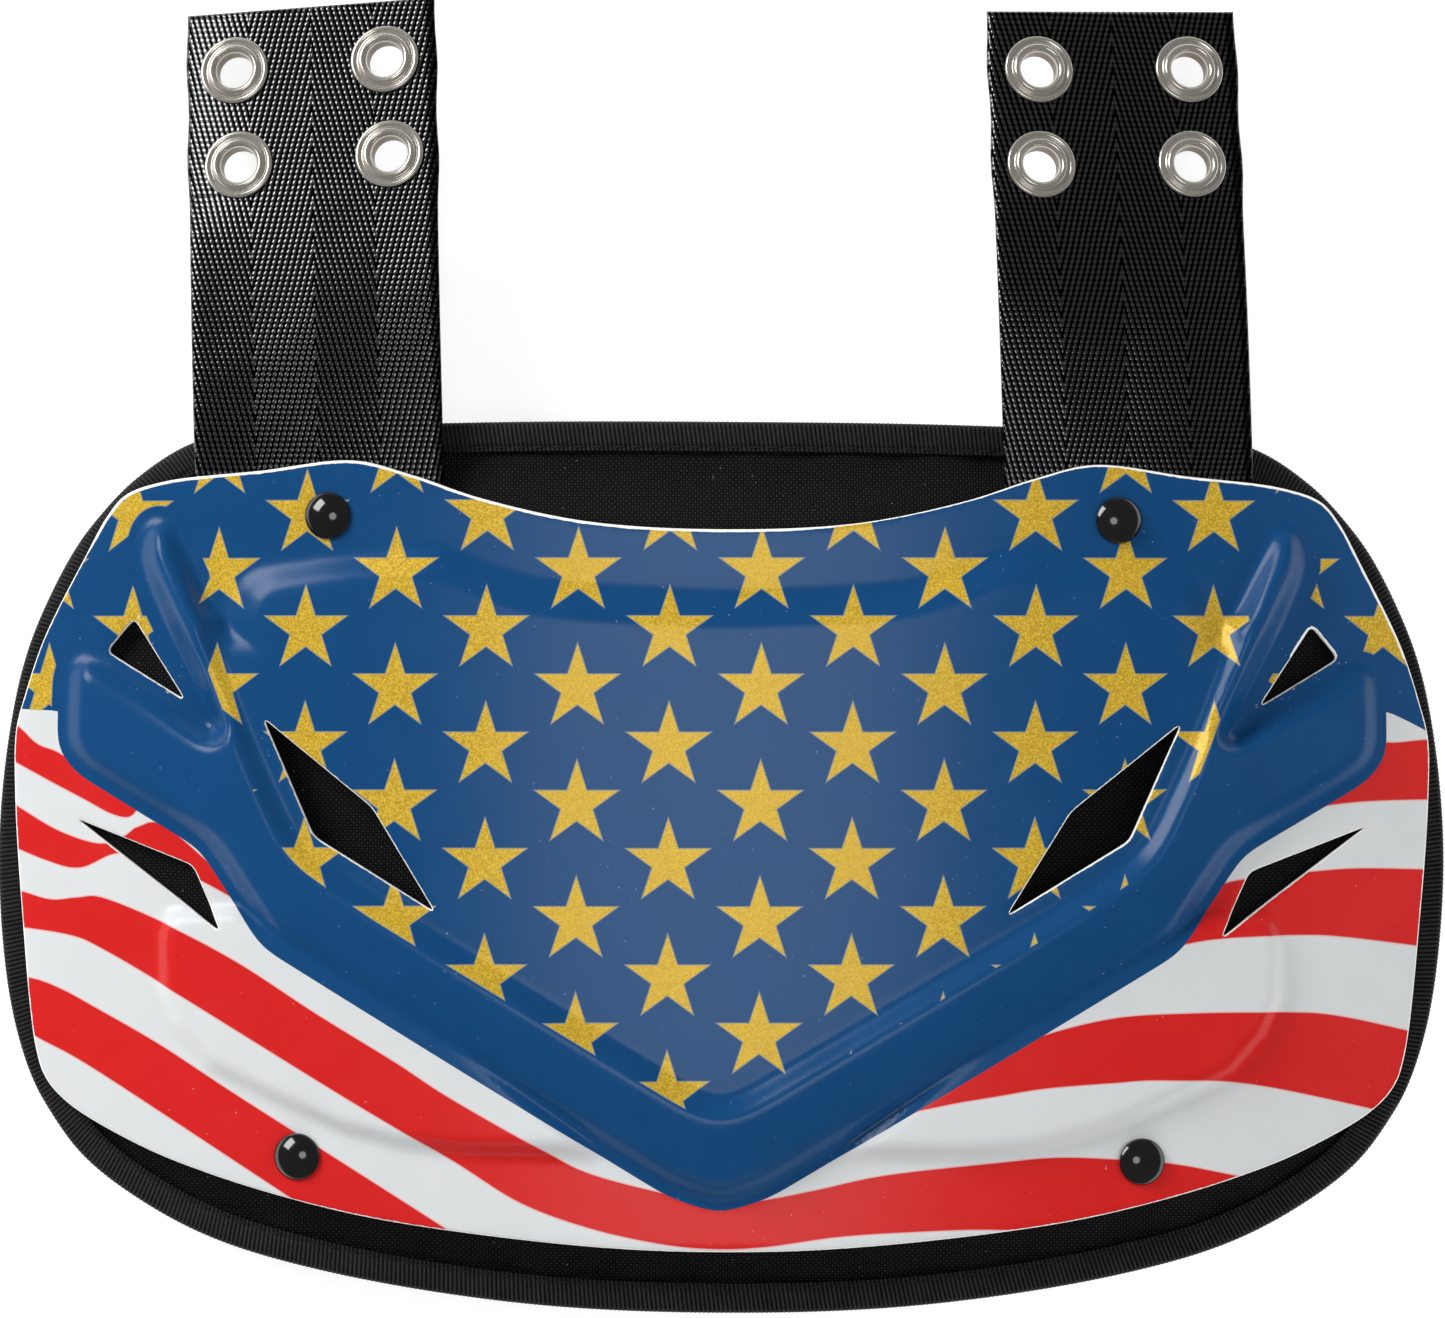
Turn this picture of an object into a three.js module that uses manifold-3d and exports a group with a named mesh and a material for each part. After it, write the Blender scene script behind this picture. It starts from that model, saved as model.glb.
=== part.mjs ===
// Football back plate: an arched plastic shell riveted to a bound foam pad, with two webbing straps
// that carry eyelets at their free ends. It lies face up on a surface.
// Millimetres, +X to the right, +Y towards the strap ends, +Z out of the front. The plan is measured
// from the pad's lower edge (y = 0) and from the middle line (x = 0), and centred at the end.

import * as THREE from 'three';
import { mergeVertices } from 'three/addons/utils/BufferGeometryUtils.js';
import Module from 'manifold-3d';

const wasm = await Module();
wasm.setup();

// Shell
const shellWall = 3;
const panelRise = 3;
const panelSlope = 8;
const bandRise = 6.5;
const bandFall = 2;
const bandWall = 5.2;
const bossRise = 2.2;
const bossWall = 5;
const veeSlope = 0.6;

// Pad, how far it stands out past the shell, and the tape that binds its edge
const padHalfWidth = 147.5;
const padHeight = 179.8;
const shellMargin = 3.7;
const shellFoot = 13.2;
const shellDrop = 8.5;
const padThickness = 12;
const padTaper = 22;
const tapeWall = 0.9;
const tapeLip = 6;
const tapeHeight = 5.6;

// Arch across the back, and the strip at each side that lies flat on the surface
const archSag = 17;
const archPower = 2.4;
const footStrip = 9.5;

// Straps
const strapWidth = 50.8;
const strapThickness = 1.6;
const strapReach = 93.1;
const strapTail = 34.3;
const strapLanding = 7;

// Eyelets and rivets
const eyeletAcross = 30.9;
const eyeletAlong = 19.6;
const eyeletInset = 22;
const eyeletHole = 3.7;
const eyeletBarrel = 4.2;
const eyeletFlange = 7;
const eyeletBack = 6.6;
const eyeletBackWall = 0.9;
const eyeletRoll = 1.4;
const rivetCap = 4.7;
const rivetDome = 1.9;
const rivetShank = 2.3;
const rivetWasher = 6;
const rivetWasherWall = 1;
const topRivetShift = 2.3;
const topRivetDrop = 11.1;
const lowRivetRise = 18.2;

// Places across the shell, as shares of its half width
const strapShare = 0.568;
const lowRivetShare = 0.59;
const wingShare = 0.64;

// Fits and mesh fineness
const seatGap = 0.3;
const panelCell = 9;
const wingCell = 4.8;
const bandCell = 6;
const lowerCell = 9.5;
const bendCell = 9;
const edgeStations = 54;
const turnSteps = 12;
const overshoot = 10;

// The shell's rim from the middle of the top scoop to the middle of the lower edge.
// across is a share of shellHalfWidth, up a share of shellHeight.
const shellRim = [
  { across: 0, up: 0.915 },
  { across: 0.189, up: 0.924 },
  { across: 0.339, up: 0.953 },
  { across: 0.435, up: 0.982 },
  { across: 0.517, up: 1 },
  { across: 0.647, up: 0.987 },
  { across: 0.786, up: 0.973 },
  { across: 0.841, up: 0.956 },
  { across: 0.866, up: 0.931 },
  { across: 0.901, up: 0.874 },
  { across: 0.958, up: 0.773 },
  { across: 0.986, up: 0.7 },
  { across: 0.999, up: 0.654 },
  { across: 1, up: 0.575 },
  { across: 0.99, up: 0.435 },
  { across: 0.967, up: 0.245 },
  { across: 0.952, up: 0.207 },
  { across: 0.918, up: 0.175 },
  { across: 0.817, up: 0.125 },
  { across: 0.727, up: 0.094 },
  { across: 0.6, up: 0.061 },
  { across: 0.462, up: 0.035 },
  { across: 0.183, up: 0.006 },
  { across: 0, up: 0 },
];

// The star panel's edge, from the middle of its top to its lower point.
const panelEdge = [
  { across: 0, up: 0.839 },
  { across: 0.174, up: 0.846 },
  { across: 0.257, up: 0.853 },
  { across: 0.327, up: 0.873 },
  { across: 0.396, up: 0.9 },
  { across: 0.549, up: 0.888 },
  { across: 0.654, up: 0.873 },
  { across: 0.685, up: 0.852 },
  { across: 0.709, up: 0.795 },
  { across: 0.686, up: 0.737 },
  { across: 0.636, up: 0.618 },
  { across: 0.596, up: 0.538 },
  { across: 0.571, up: 0.507 },
  { across: 0.468, up: 0.444 },
  { across: 0.035, up: 0.21 },
  { across: 0, up: 0.197 },
];

// The raised V band's outer edge: up the upper arm, round the fork, down to the lower point.
const bandEdge = [
  { across: 0.709, up: 0.798 },
  { across: 0.774, up: 0.928 },
  { across: 0.794, up: 0.932 },
  { across: 0.817, up: 0.922 },
  { across: 0.828, up: 0.871 },
  { across: 0.786, up: 0.789 },
  { across: 0.751, up: 0.732 },
  { across: 0.707, up: 0.653 },
  { across: 0.885, up: 0.753 },
  { across: 0.908, up: 0.755 },
  { across: 0.929, up: 0.738 },
  { across: 0.932, up: 0.633 },
  { across: 0.908, up: 0.605 },
  { across: 0.727, up: 0.509 },
  { across: 0.675, up: 0.438 },
  { across: 0.637, up: 0.386 },
  { across: 0.066, up: 0.074 },
  { across: 0, up: 0.055 },
];

// The low boss under each arm of the V, closed under the band.
const bossEdge = [
  { across: 0.675, up: 0.438 },
  { across: 0.779, up: 0.431 },
  { across: 0.796, up: 0.397 },
  { across: 0.794, up: 0.321 },
  { across: 0.772, up: 0.273 },
  { across: 0.722, up: 0.221 },
  { across: 0.64, up: 0.186 },
  { across: 0.532, up: 0.144 },
  { across: 0.445, up: 0.125 },
  { across: 0.348, up: 0.117 },
  { across: 0.146, up: 0.118 },
  { across: 0.382, up: 0.295 },
];

// The three vents of each side: one in the fork, one in the panel, one below the band.
const ventCorners = {
  fork: [
    { across: 0.828, up: 0.798 },
    { across: 0.867, up: 0.756 },
    { across: 0.754, up: 0.694 },
  ],
  panel: [
    { across: 0.641, up: 0.672 },
    { across: 0.487, up: 0.56 },
    { across: 0.398, up: 0.428 },
    { across: 0.569, up: 0.523 },
  ],
  lower: [
    { across: 0.909, up: 0.541 },
    { across: 0.741, up: 0.483 },
    { across: 0.7, up: 0.399 },
  ],
};

// The pad's bound edge from the middle of its top to the middle of its lower edge.
// across is a share of padHalfWidth, up a share of padHeight.
const padRim = [
  { across: 0, up: 1 },
  { across: 0.325, up: 0.998 },
  { across: 0.61, up: 0.989 },
  { across: 0.725, up: 0.976 },
  { across: 0.807, up: 0.936 },
  { across: 0.862, up: 0.891 },
  { across: 0.902, up: 0.846 },
  { across: 0.955, up: 0.755 },
  { across: 0.983, up: 0.664 },
  { across: 1, up: 0.511 },
  { across: 0.984, up: 0.345 },
  { across: 0.953, up: 0.255 },
  { across: 0.923, up: 0.211 },
  { across: 0.879, up: 0.166 },
  { across: 0.807, up: 0.122 },
  { across: 0.701, up: 0.078 },
  { across: 0.542, up: 0.042 },
  { across: 0.271, up: 0.009 },
  { across: 0, up: 0 },
];

// The two straps: the side, the lean and the turn of the cut end with its eyelets, in degrees.
const strapRows = [
  { name: 'left', side: -1, lean: 1.9, turn: 3.8 },
  { name: 'right', side: 1, lean: 2.1, turn: 1.2 },
];

// Worked-out levels and places
const shellHalfWidth = padHalfWidth - shellMargin;
const shellHeight = padHeight - shellFoot - shellDrop;
const strapOffset = shellHalfWidth * strapShare;
const topRivetAcross = strapOffset - topRivetShift;
const lowRivetAcross = shellHalfWidth * lowRivetShare;
const wingStart = shellHalfWidth * wingShare;
const shoulder = shellFoot + shellHeight;
const archReach = padHalfWidth - footStrip;
const crownUnder = archSag + padThickness + seatGap;
const crownDrop = crownUnder - tapeHeight - seatGap;
const strapEnd = shoulder + strapReach;

function materialOf(color, roughness, metalness) {
  return new THREE.MeshStandardMaterial({ color, roughness, metalness });
}

const finishes = {
  shell: materialOf(0x1f4f86, 0.3, 0),
  pad: materialOf(0x191919, 0.95, 0),
  tape: materialOf(0x111111, 0.9, 0),
  webbing: materialOf(0x161616, 0.45, 0),
  rivet: materialOf(0x0b0b0b, 0.2, 0),
  nickel: materialOf(0xcfcac0, 0.25, 1),
};

// Booleans

function toSolid(geometry) {
  const bare = geometry.clone();
  bare.deleteAttribute('normal');
  bare.deleteAttribute('uv');
  const merged = mergeVertices(bare, 1e-4);
  const vertProperties = new Float32Array(merged.attributes.position.array);
  const triVerts = new Uint32Array(merged.index.array);
  return new wasm.Manifold(new wasm.Mesh({ numProp: 3, vertProperties, triVerts }));
}

function toGeometry(solid) {
  const mesh = solid.getMesh();
  const geometry = new THREE.BufferGeometry();
  geometry.setAttribute('position', new THREE.BufferAttribute(new Float32Array(mesh.vertProperties), 3));
  geometry.setIndex(new THREE.BufferAttribute(new Uint32Array(mesh.triVerts), 1));
  geometry.computeVertexNormals();
  return geometry;
}

function cutAway(geometry, tools) {
  let solid = toSolid(geometry);
  for (const tool of tools) solid = solid.subtract(toSolid(tool));
  return toGeometry(solid);
}

// Outlines

function smoothStep(share) {
  const s = THREE.MathUtils.clamp(share, 0, 1);
  return s * s * (3 - 2 * s);
}

function onShell(row, side = 1) {
  return new THREE.Vector2(side * row.across * shellHalfWidth, shellFoot + row.up * shellHeight);
}

function onPad(row, side = 1) {
  return new THREE.Vector2(side * row.across * padHalfWidth, row.up * padHeight);
}

// A half table and its mirror image, as one closed ring of corners, clockwise from the top.
function ringOf(table, place) {
  const right = table.map((row) => place(row, 1));
  const mirrored = table.filter((row) => row.across > 0).map((row) => place(row, -1));
  return right.concat(mirrored.reverse());
}

// The same ring as a smooth closed curve, in evenly spaced points.
function smoothRing(table, place, count) {
  const knots = ringOf(table, place).map((p) => new THREE.Vector3(p.x, p.y, 0));
  const curve = new THREE.CatmullRomCurve3(knots, true, 'centripetal');
  return curve.getSpacedPoints(count).slice(0, count).map((p) => new THREE.Vector2(p.x, p.y));
}

function prism(corners, from, to) {
  const shape = new THREE.Shape(corners);
  const geometry = new THREE.ExtrudeGeometry(shape, { depth: to - from, bevelEnabled: false });
  return geometry.translate(0, 0, from);
}

// Distance from a point to a ring of corners, positive inside it.
function depthInside(x, y, ring) {
  let nearest = Infinity;
  let inside = false;
  for (let i = 0, j = ring.length - 1; i < ring.length; j = i, i += 1) {
    const a = ring[j];
    const b = ring[i];
    const ex = b.x - a.x;
    const ey = b.y - a.y;
    const along = THREE.MathUtils.clamp(((x - a.x) * ex + (y - a.y) * ey) / (ex * ex + ey * ey), 0, 1);
    nearest = Math.min(nearest, Math.hypot(x - a.x - along * ex, y - a.y - along * ey));
    if ((a.y > y) !== (b.y > y) && x < a.x + ((y - a.y) * ex) / ey) inside = !inside;
  }
  return inside ? nearest : -nearest;
}

const panelRing = ringOf(panelEdge, onShell);
const bandRing = ringOf(bandEdge, onShell);
const bossRings = [-1, 1].map((side) => bossEdge.map((row) => onShell(row, side)));

// Height fields

// The pad's back: a power arch that meets the surface footStrip inside the pad's widest place.
function backLevel(x) {
  return archSag * Math.max(0, 1 - (Math.abs(x) / archReach) ** archPower);
}

// The underside of the shell's rim, from the crown down to the bound edge.
function rimUnder(x) {
  return crownUnder - crownDrop * (Math.abs(x) / shellHalfWidth) ** archPower;
}

// How steeply the rim falls towards the sides, at a distance from the middle line.
function rimFall(across) {
  return ((crownDrop * archPower) / shellHalfWidth) * (across / shellHalfWidth) ** (archPower - 1);
}

// What the mould raises above the rim: the panel, the V band that falls outwards, and the bosses.
function relief(x, y) {
  const inPanel = depthInside(x, y, panelRing);
  const inVee = depthInside(x, y, bandRing);
  const inBand = Math.min(inVee, -inPanel);
  const panel = panelRise * smoothStep(Math.max(inPanel, inVee) / panelSlope);
  const crest = bandRise - bandFall * smoothStep((-inPanel - bandWall) / (4 * bandWall));
  const floor = (panelRise * inVee) / (inVee - inPanel);
  const band = inBand > 0 ? floor + (crest - floor) * smoothStep(inBand / bandWall) : 0;
  const inBoss = Math.max(...bossRings.map((ring) => depthInside(x, y, ring)));
  const boss = bossRise * smoothStep(inBoss / bossWall);
  return Math.max(panel, band, boss);
}

function shellTop(x, y) {
  return rimUnder(x) + relief(x, y) + shellWall;
}

function padFront(x) {
  return Math.min(backLevel(x) + padThickness, rimUnder(x) - seatGap);
}

// A closed slab over a grid: place(i, j) gives the plan point, top and bottom give its levels.
function gridSlab(columns, rows, place, top, bottom) {
  const position = [];
  const index = [];
  const layer = (columns + 1) * (rows + 1);
  for (const level of [top, bottom]) {
    for (let j = 0; j <= rows; j += 1) {
      for (let i = 0; i <= columns; i += 1) {
        const p = place(i, j);
        position.push(p.x, p.y, level(p.x, p.y));
      }
    }
  }
  const at = (i, j) => j * (columns + 1) + i;
  for (let j = 0; j < rows; j += 1) {
    for (let i = 0; i < columns; i += 1) {
      const [a, b, c, d] = [at(i, j), at(i + 1, j), at(i + 1, j + 1), at(i, j + 1)];
      index.push(a, b, c, a, c, d);
      index.push(layer + a, layer + c, layer + b, layer + a, layer + d, layer + c);
    }
  }
  const border = [];
  for (let i = 0; i < columns; i += 1) border.push(at(i, 0));
  for (let j = 0; j < rows; j += 1) border.push(at(columns, j));
  for (let i = columns; i > 0; i -= 1) border.push(at(i, rows));
  for (let j = rows; j > 0; j -= 1) border.push(at(0, j));
  border.forEach((a, k) => {
    const b = border[(k + 1) % border.length];
    index.push(a, layer + a, layer + b, a, layer + b, b);
  });
  const geometry = new THREE.BufferGeometry();
  geometry.setAttribute('position', new THREE.Float32BufferAttribute(position, 3));
  geometry.setIndex(index);
  return geometry;
}

// Evenly spaced levels from one value up to another, which is left out, at most cell apart.
function levelsBetween(from, to, cell) {
  const count = Math.max(1, Math.ceil((to - from) / cell));
  return Array.from({ length: count }, (_, k) => from + ((to - from) * k) / count);
}

// Rivets: each axis stands square to the shell's rim, with its seat on the rim's outer face.

const rivetRows = [
  { name: 'top_left', x: -topRivetAcross, y: shoulder - topRivetDrop },
  { name: 'top_right', x: topRivetAcross, y: shoulder - topRivetDrop },
  { name: 'low_left', x: -lowRivetAcross, y: shellFoot + lowRivetRise },
  { name: 'low_right', x: lowRivetAcross, y: shellFoot + lowRivetRise },
];

function rivetFrame(row) {
  const seat = rimUnder(row.x) + shellWall;
  const slope = rimUnder(row.x + 1) - rimUnder(row.x);
  const tilt = Math.atan(-slope);
  const grip = (seat - backLevel(row.x)) * Math.cos(tilt) + seatGap;
  return { seat, tilt, grip };
}

function placeOnRivet(object, row) {
  const frame = rivetFrame(row);
  object.position.set(row.x, row.y, frame.seat);
  object.rotation.set(0, frame.tilt, 0);
  return object;
}

function rivetTool(row, radius, from, to) {
  const cylinder = new THREE.CylinderGeometry(radius, radius, to - from, turnSteps);
  cylinder.rotateX(Math.PI / 2).translate(0, 0, (from + to) / 2);
  const holder = placeOnRivet(new THREE.Object3D(), row);
  holder.updateMatrix();
  return cylinder.applyMatrix4(holder.matrix);
}

function latheAboutZ(profile) {
  const points = profile.map(([radius, level]) => new THREE.Vector2(radius, level));
  return new THREE.LatheGeometry(points, turnSteps).rotateX(Math.PI / 2);
}

// A domed cap, the shank through everything, and the washer behind the pad.
function rivetGeometry(row) {
  const { grip } = rivetFrame(row);
  const crown = seatGap + rivetDome;
  return latheAboutZ([
    [0, -grip - rivetWasherWall],
    [rivetWasher, -grip - rivetWasherWall],
    [rivetWasher, -grip],
    [rivetShank, -grip],
    [rivetShank, seatGap],
    [rivetCap, seatGap],
    [rivetCap * 0.85, crown - rivetDome * 0.7],
    [rivetCap * 0.6, crown - rivetDome * 0.35],
    [rivetCap * 0.3, crown - rivetDome * 0.08],
    [0, crown],
  ]);
}

// Straps

// A strap's middle line leans as the photograph shows, about the place where it leaves the shell.
function strapMiddle(strap, y) {
  const lean = Math.tan(THREE.MathUtils.degToRad(strap.lean));
  return strap.side * strapOffset - (y - shoulder) * lean;
}

// Where the eyelet block begins. The straight strip before it, the landing, is clear of every flange.
function blockStart(strap) {
  const swing = (eyeletAcross / 2) * Math.sin(THREE.MathUtils.degToRad(strap.turn));
  return strapEnd - eyeletInset - eyeletAlong / 2 - eyeletFlange - swing - seatGap;
}

// The plane of a strap's end: it falls outwards as steeply as the rim that holds the strap, and
// forwards so that its outer corner comes down to the surface.
function endPlane(strap) {
  const held = rimUnder(strapOffset) - seatGap - strapThickness;
  const cross = rimFall(strapOffset);
  const outer = strap.side * strapMiddle(strap, strapEnd) + strapWidth / 2 - strapOffset;
  const bend = blockStart(strap) - strapLanding - shoulder;
  const fall = (held - cross * outer - seatGap) / (strapReach - bend / 2);
  return { held, cross, bend, fall };
}

// The strap's underside: under the shell's rim, then bending down evenly to its straight end.
function strapUnder(strap, x, y) {
  const plane = endPlane(strap);
  const along = Math.max(0, y - shoulder);
  const share = smoothStep(along / plane.bend);
  const held = rimUnder(x) - seatGap - strapThickness;
  const level = plane.held - plane.cross * (strap.side * x - strapOffset);
  const bent = along < plane.bend ? along ** 2 / (2 * plane.bend) : along - plane.bend / 2;
  return held + (level - held) * share - plane.fall * bent;
}

function strapStations(strap, tail) {
  const hidden = levelsBetween(shoulder - tail, shoulder, 2 * bendCell);
  const block = blockStart(strap);
  const bend = levelsBetween(shoulder, block - strapLanding, bendCell);
  return hidden.concat(bend, [block - strapLanding, block, strapEnd]);
}

// The strap as a slab, widened by spread and thickened by lower and upper for the pocket it needs.
function strapSlab(strap, spread, lower, upper) {
  const across = 4;
  const stations = strapStations(strap, strapTail + spread);
  const cut = Math.tan(THREE.MathUtils.degToRad(strap.turn));
  const last = stations.length - 1;
  const place = (i, j) => {
    const offset = (strapWidth + 2 * spread) * (i / across - 0.5);
    const y = stations[j] + (j === last ? offset * cut : 0);
    return { x: strapMiddle(strap, stations[j]) + offset, y };
  };
  const top = (x, y) => strapUnder(strap, x, y) + strapThickness + upper;
  const bottom = (x, y) => strapUnder(strap, x, y) - lower;
  return gridSlab(across, last, place, top, bottom);
}

// The four eyelets sit in a block that turns with the strap's cut end.
function eyeletPlaces(strap) {
  const turn = THREE.MathUtils.degToRad(strap.turn);
  const middleY = strapEnd - eyeletInset;
  const middleX = strapMiddle(strap, middleY);
  const places = [];
  for (const up of [0.5, -0.5]) {
    for (const across of [-0.5, 0.5]) {
      const u = across * eyeletAcross;
      const v = up * eyeletAlong;
      places.push({
        x: middleX + u * Math.cos(turn) - v * Math.sin(turn),
        y: middleY + u * Math.sin(turn) + v * Math.cos(turn),
      });
    }
  }
  return places;
}

// Stands an object square to the strap's end, its own zero level at the strap's outer face.
function placeOnStrap(object, strap, place) {
  const plane = endPlane(strap);
  const square = new THREE.Vector3(strap.side * plane.cross, plane.fall, 1).normalize();
  object.position.set(place.x, place.y, strapUnder(strap, place.x, place.y) + strapThickness);
  object.quaternion.setFromUnitVectors(new THREE.Vector3(0, 0, 1), square);
  return object;
}

function strapGeometry(strap) {
  const radius = eyeletBarrel + seatGap;
  const tools = eyeletPlaces(strap).map((place) => {
    const hole = new THREE.CylinderGeometry(radius, radius, overshoot, turnSteps).rotateX(Math.PI / 2);
    const holder = placeOnStrap(new THREE.Object3D(), strap, place);
    holder.updateMatrix();
    return hole.applyMatrix4(holder.matrix);
  });
  for (const row of rivetRows) {
    if (row.x * strap.side > 0) tools.push(rivetTool(row, rivetShank + seatGap, -overshoot, overshoot));
  }
  return cutAway(strapSlab(strap, 0, 0, 0), tools);
}

// A rolled front flange, the barrel through the webbing, and the flat flange behind it.
function eyeletGeometry() {
  const back = -strapThickness - seatGap;
  const foot = back - eyeletBackWall;
  const barrelWall = eyeletBarrel - eyeletHole;
  return latheAboutZ([
    [eyeletHole, foot],
    [eyeletBack, foot],
    [eyeletBack, back],
    [eyeletBarrel, back],
    [eyeletBarrel, seatGap],
    [eyeletFlange, seatGap],
    [eyeletFlange - barrelWall, seatGap + eyeletRoll * 0.7],
    [(eyeletFlange + eyeletBarrel) / 2, seatGap + eyeletRoll],
    [eyeletBarrel, seatGap + eyeletRoll * 0.7],
    [eyeletHole, seatGap],
    [eyeletHole, foot],
  ]);
}

// Shell

// Grid rows follow the V: level plus veeSlope times the distance from the middle line.
function shellLevels() {
  const bandFoot = onShell(bandEdge[bandEdge.length - 1]).y;
  const panelFoot = onShell(panelEdge[panelEdge.length - 1]).y;
  const lowest = shellFoot - veeSlope * shellHalfWidth * 0.6;
  const forkTop = shellFoot + shellHeight * 0.56;
  const highest = shellFoot + shellHeight * 0.93;
  return [
    ...levelsBetween(lowest, bandFoot, lowerCell),
    bandFoot,
    ...levelsBetween(bandFoot + bandWall, panelFoot - bandWall, bandCell),
    panelFoot - bandWall,
    ...levelsBetween(panelFoot, forkTop, bandCell),
    ...levelsBetween(forkTop, highest, panelCell),
    highest,
  ];
}

// Grid columns of one half: wide over the panel, narrow over the forked wing.
function shellColumns() {
  const half = levelsBetween(0, wingStart, panelCell).slice(1);
  const wing = levelsBetween(wingStart, shellHalfWidth + wingCell, wingCell);
  const right = half.concat(wing, [shellHalfWidth + wingCell]);
  return right.map((x) => -x).reverse().concat([0], right);
}

function shellGeometry() {
  const levels = shellLevels();
  const columns = shellColumns();
  const place = (i, j) => ({ x: columns[i], y: levels[j] + veeSlope * Math.abs(columns[i]) });
  const under = (x, y) => shellTop(x, y) - shellWall;
  const slab = gridSlab(columns.length - 1, levels.length - 1, place, shellTop, under);
  const lowest = -overshoot;
  const highest = crownUnder + bandRise + shellWall + overshoot;
  const rim = prism(smoothRing(shellRim, onShell, edgeStations), lowest, highest);
  const tools = [];
  for (const corners of Object.values(ventCorners)) {
    for (const side of [-1, 1]) tools.push(prism(corners.map((row) => onShell(row, side)), lowest, highest));
  }
  for (const row of rivetRows) {
    tools.push(rivetTool(row, rivetShank + seatGap, -overshoot, overshoot));
    tools.push(rivetTool(row, rivetCap + seatGap, 0, overshoot));
  }
  return cutAway(toGeometry(toSolid(slab).intersect(toSolid(rim))), tools);
}

// Pad and binding: both follow the same stations round the pad's edge.

const padStations = smoothRing(padRim, onPad, edgeStations);

// A station moved inwards, square to the edge.
function insetStation(k, inset) {
  const count = padStations.length;
  const before = padStations[(k + count - 1) % count];
  const after = padStations[(k + 1) % count];
  const along = new THREE.Vector2().subVectors(after, before).normalize();
  return new THREE.Vector2(padStations[k].x + along.y * inset, padStations[k].y - along.x * inset);
}

// Rings from the bound edge to the middle; the levels are above the arched back.
function padRings() {
  const edgeInset = tapeWall + seatGap;
  const lipInset = tapeLip + seatGap;
  const ringAt = (inset) => padStations.map((_, k) => insetStation(k, inset));
  const bound = (ring) => ring.map((p) => ({
    x: p.x,
    y: p.y,
    back: backLevel(p.x) + tapeWall + seatGap,
    front: backLevel(p.x) + tapeHeight - tapeWall - seatGap,
  }));
  const full = (ring) => ring.map((p) => ({
    x: p.x,
    y: p.y,
    back: backLevel(p.x) + seatGap,
    front: padFront(p.x),
  }));
  const crown = ringAt(padTaper);
  const centre = new THREE.Vector2(0, padHeight / 2);
  const shrunk = (share) => crown.map((p) => p.clone().sub(centre).multiplyScalar(share).add(centre));
  const bands = [bound(ringAt(edgeInset)), bound(ringAt(lipInset))];
  return bands.concat([full(crown), full(shrunk(0.72)), full(shrunk(0.4))]);
}

function padBlank() {
  const rings = padRings();
  const count = edgeStations;
  const position = [];
  const index = [];
  for (const face of ['front', 'back']) {
    for (const ring of rings) ring.forEach((p) => position.push(p.x, p.y, p[face]));
    position.push(0, padHeight / 2, face === 'front' ? padFront(0) : backLevel(0) + seatGap);
  }
  const layer = rings.length * count + 1;
  const centre = layer - 1;
  for (let k = 0; k < count; k += 1) {
    const next = (k + 1) % count;
    for (let r = 0; r < rings.length - 1; r += 1) {
      const [a, b, c, d] = [r * count + k, r * count + next, (r + 1) * count + next, (r + 1) * count + k];
      index.push(a, c, b, a, d, c);
      index.push(layer + a, layer + b, layer + d, layer + b, layer + c, layer + d);
    }
    const inner = (rings.length - 1) * count;
    index.push(inner + k, centre, inner + next);
    index.push(layer + inner + k, layer + inner + next, layer + centre);
    index.push(k, next, layer + next, k, layer + next, layer + k);
  }
  const geometry = new THREE.BufferGeometry();
  geometry.setAttribute('position', new THREE.Float32BufferAttribute(position, 3));
  geometry.setIndex(index);
  return geometry;
}

function padGeometry() {
  const tools = strapRows.map((strap) => strapSlab(strap, seatGap, seatGap, overshoot));
  for (const row of rivetRows) {
    const { grip } = rivetFrame(row);
    tools.push(rivetTool(row, rivetShank + seatGap, -grip - overshoot, overshoot));
    tools.push(rivetTool(row, rivetWasher + seatGap, -grip - overshoot, -grip + seatGap));
  }
  return cutAway(padBlank(), tools);
}

// The tape's C-section, folded over the pad's edge: inset from the edge, and height above the back.
function tapeSection() {
  const corner = tapeWall;
  return [
    { inset: tapeLip, height: tapeHeight },
    { inset: corner, height: tapeHeight },
    { inset: 0, height: tapeHeight - corner },
    { inset: 0, height: corner },
    { inset: corner, height: 0 },
    { inset: tapeLip, height: 0 },
    { inset: tapeLip, height: tapeWall },
    { inset: tapeWall, height: tapeWall },
    { inset: tapeWall, height: tapeHeight - tapeWall },
    { inset: tapeLip, height: tapeHeight - tapeWall },
  ];
}

function tapeGeometry() {
  const section = tapeSection();
  const count = edgeStations;
  const position = [];
  const index = [];
  for (let k = 0; k < count; k += 1) {
    for (const point of section) {
      const p = insetStation(k, point.inset);
      position.push(p.x, p.y, backLevel(p.x) + point.height);
    }
  }
  for (let k = 0; k < count; k += 1) {
    const here = k * section.length;
    const there = ((k + 1) % count) * section.length;
    for (let s = 0; s < section.length; s += 1) {
      const t = (s + 1) % section.length;
      index.push(here + s, there + s, there + t, here + s, there + t, here + t);
    }
  }
  const geometry = new THREE.BufferGeometry();
  geometry.setAttribute('position', new THREE.Float32BufferAttribute(position, 3));
  geometry.setIndex(index);
  return geometry;
}

// Assembly

const group = new THREE.Group();

function addPiece(name, geometry, material) {
  const mesh = new THREE.Mesh(geometry, material);
  mesh.name = name;
  group.add(mesh);
  return mesh;
}

addPiece('shell', shellGeometry(), finishes.shell);
addPiece('foam_pad', padGeometry(), finishes.pad);
addPiece('edge_binding', tapeGeometry(), finishes.tape);

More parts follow.
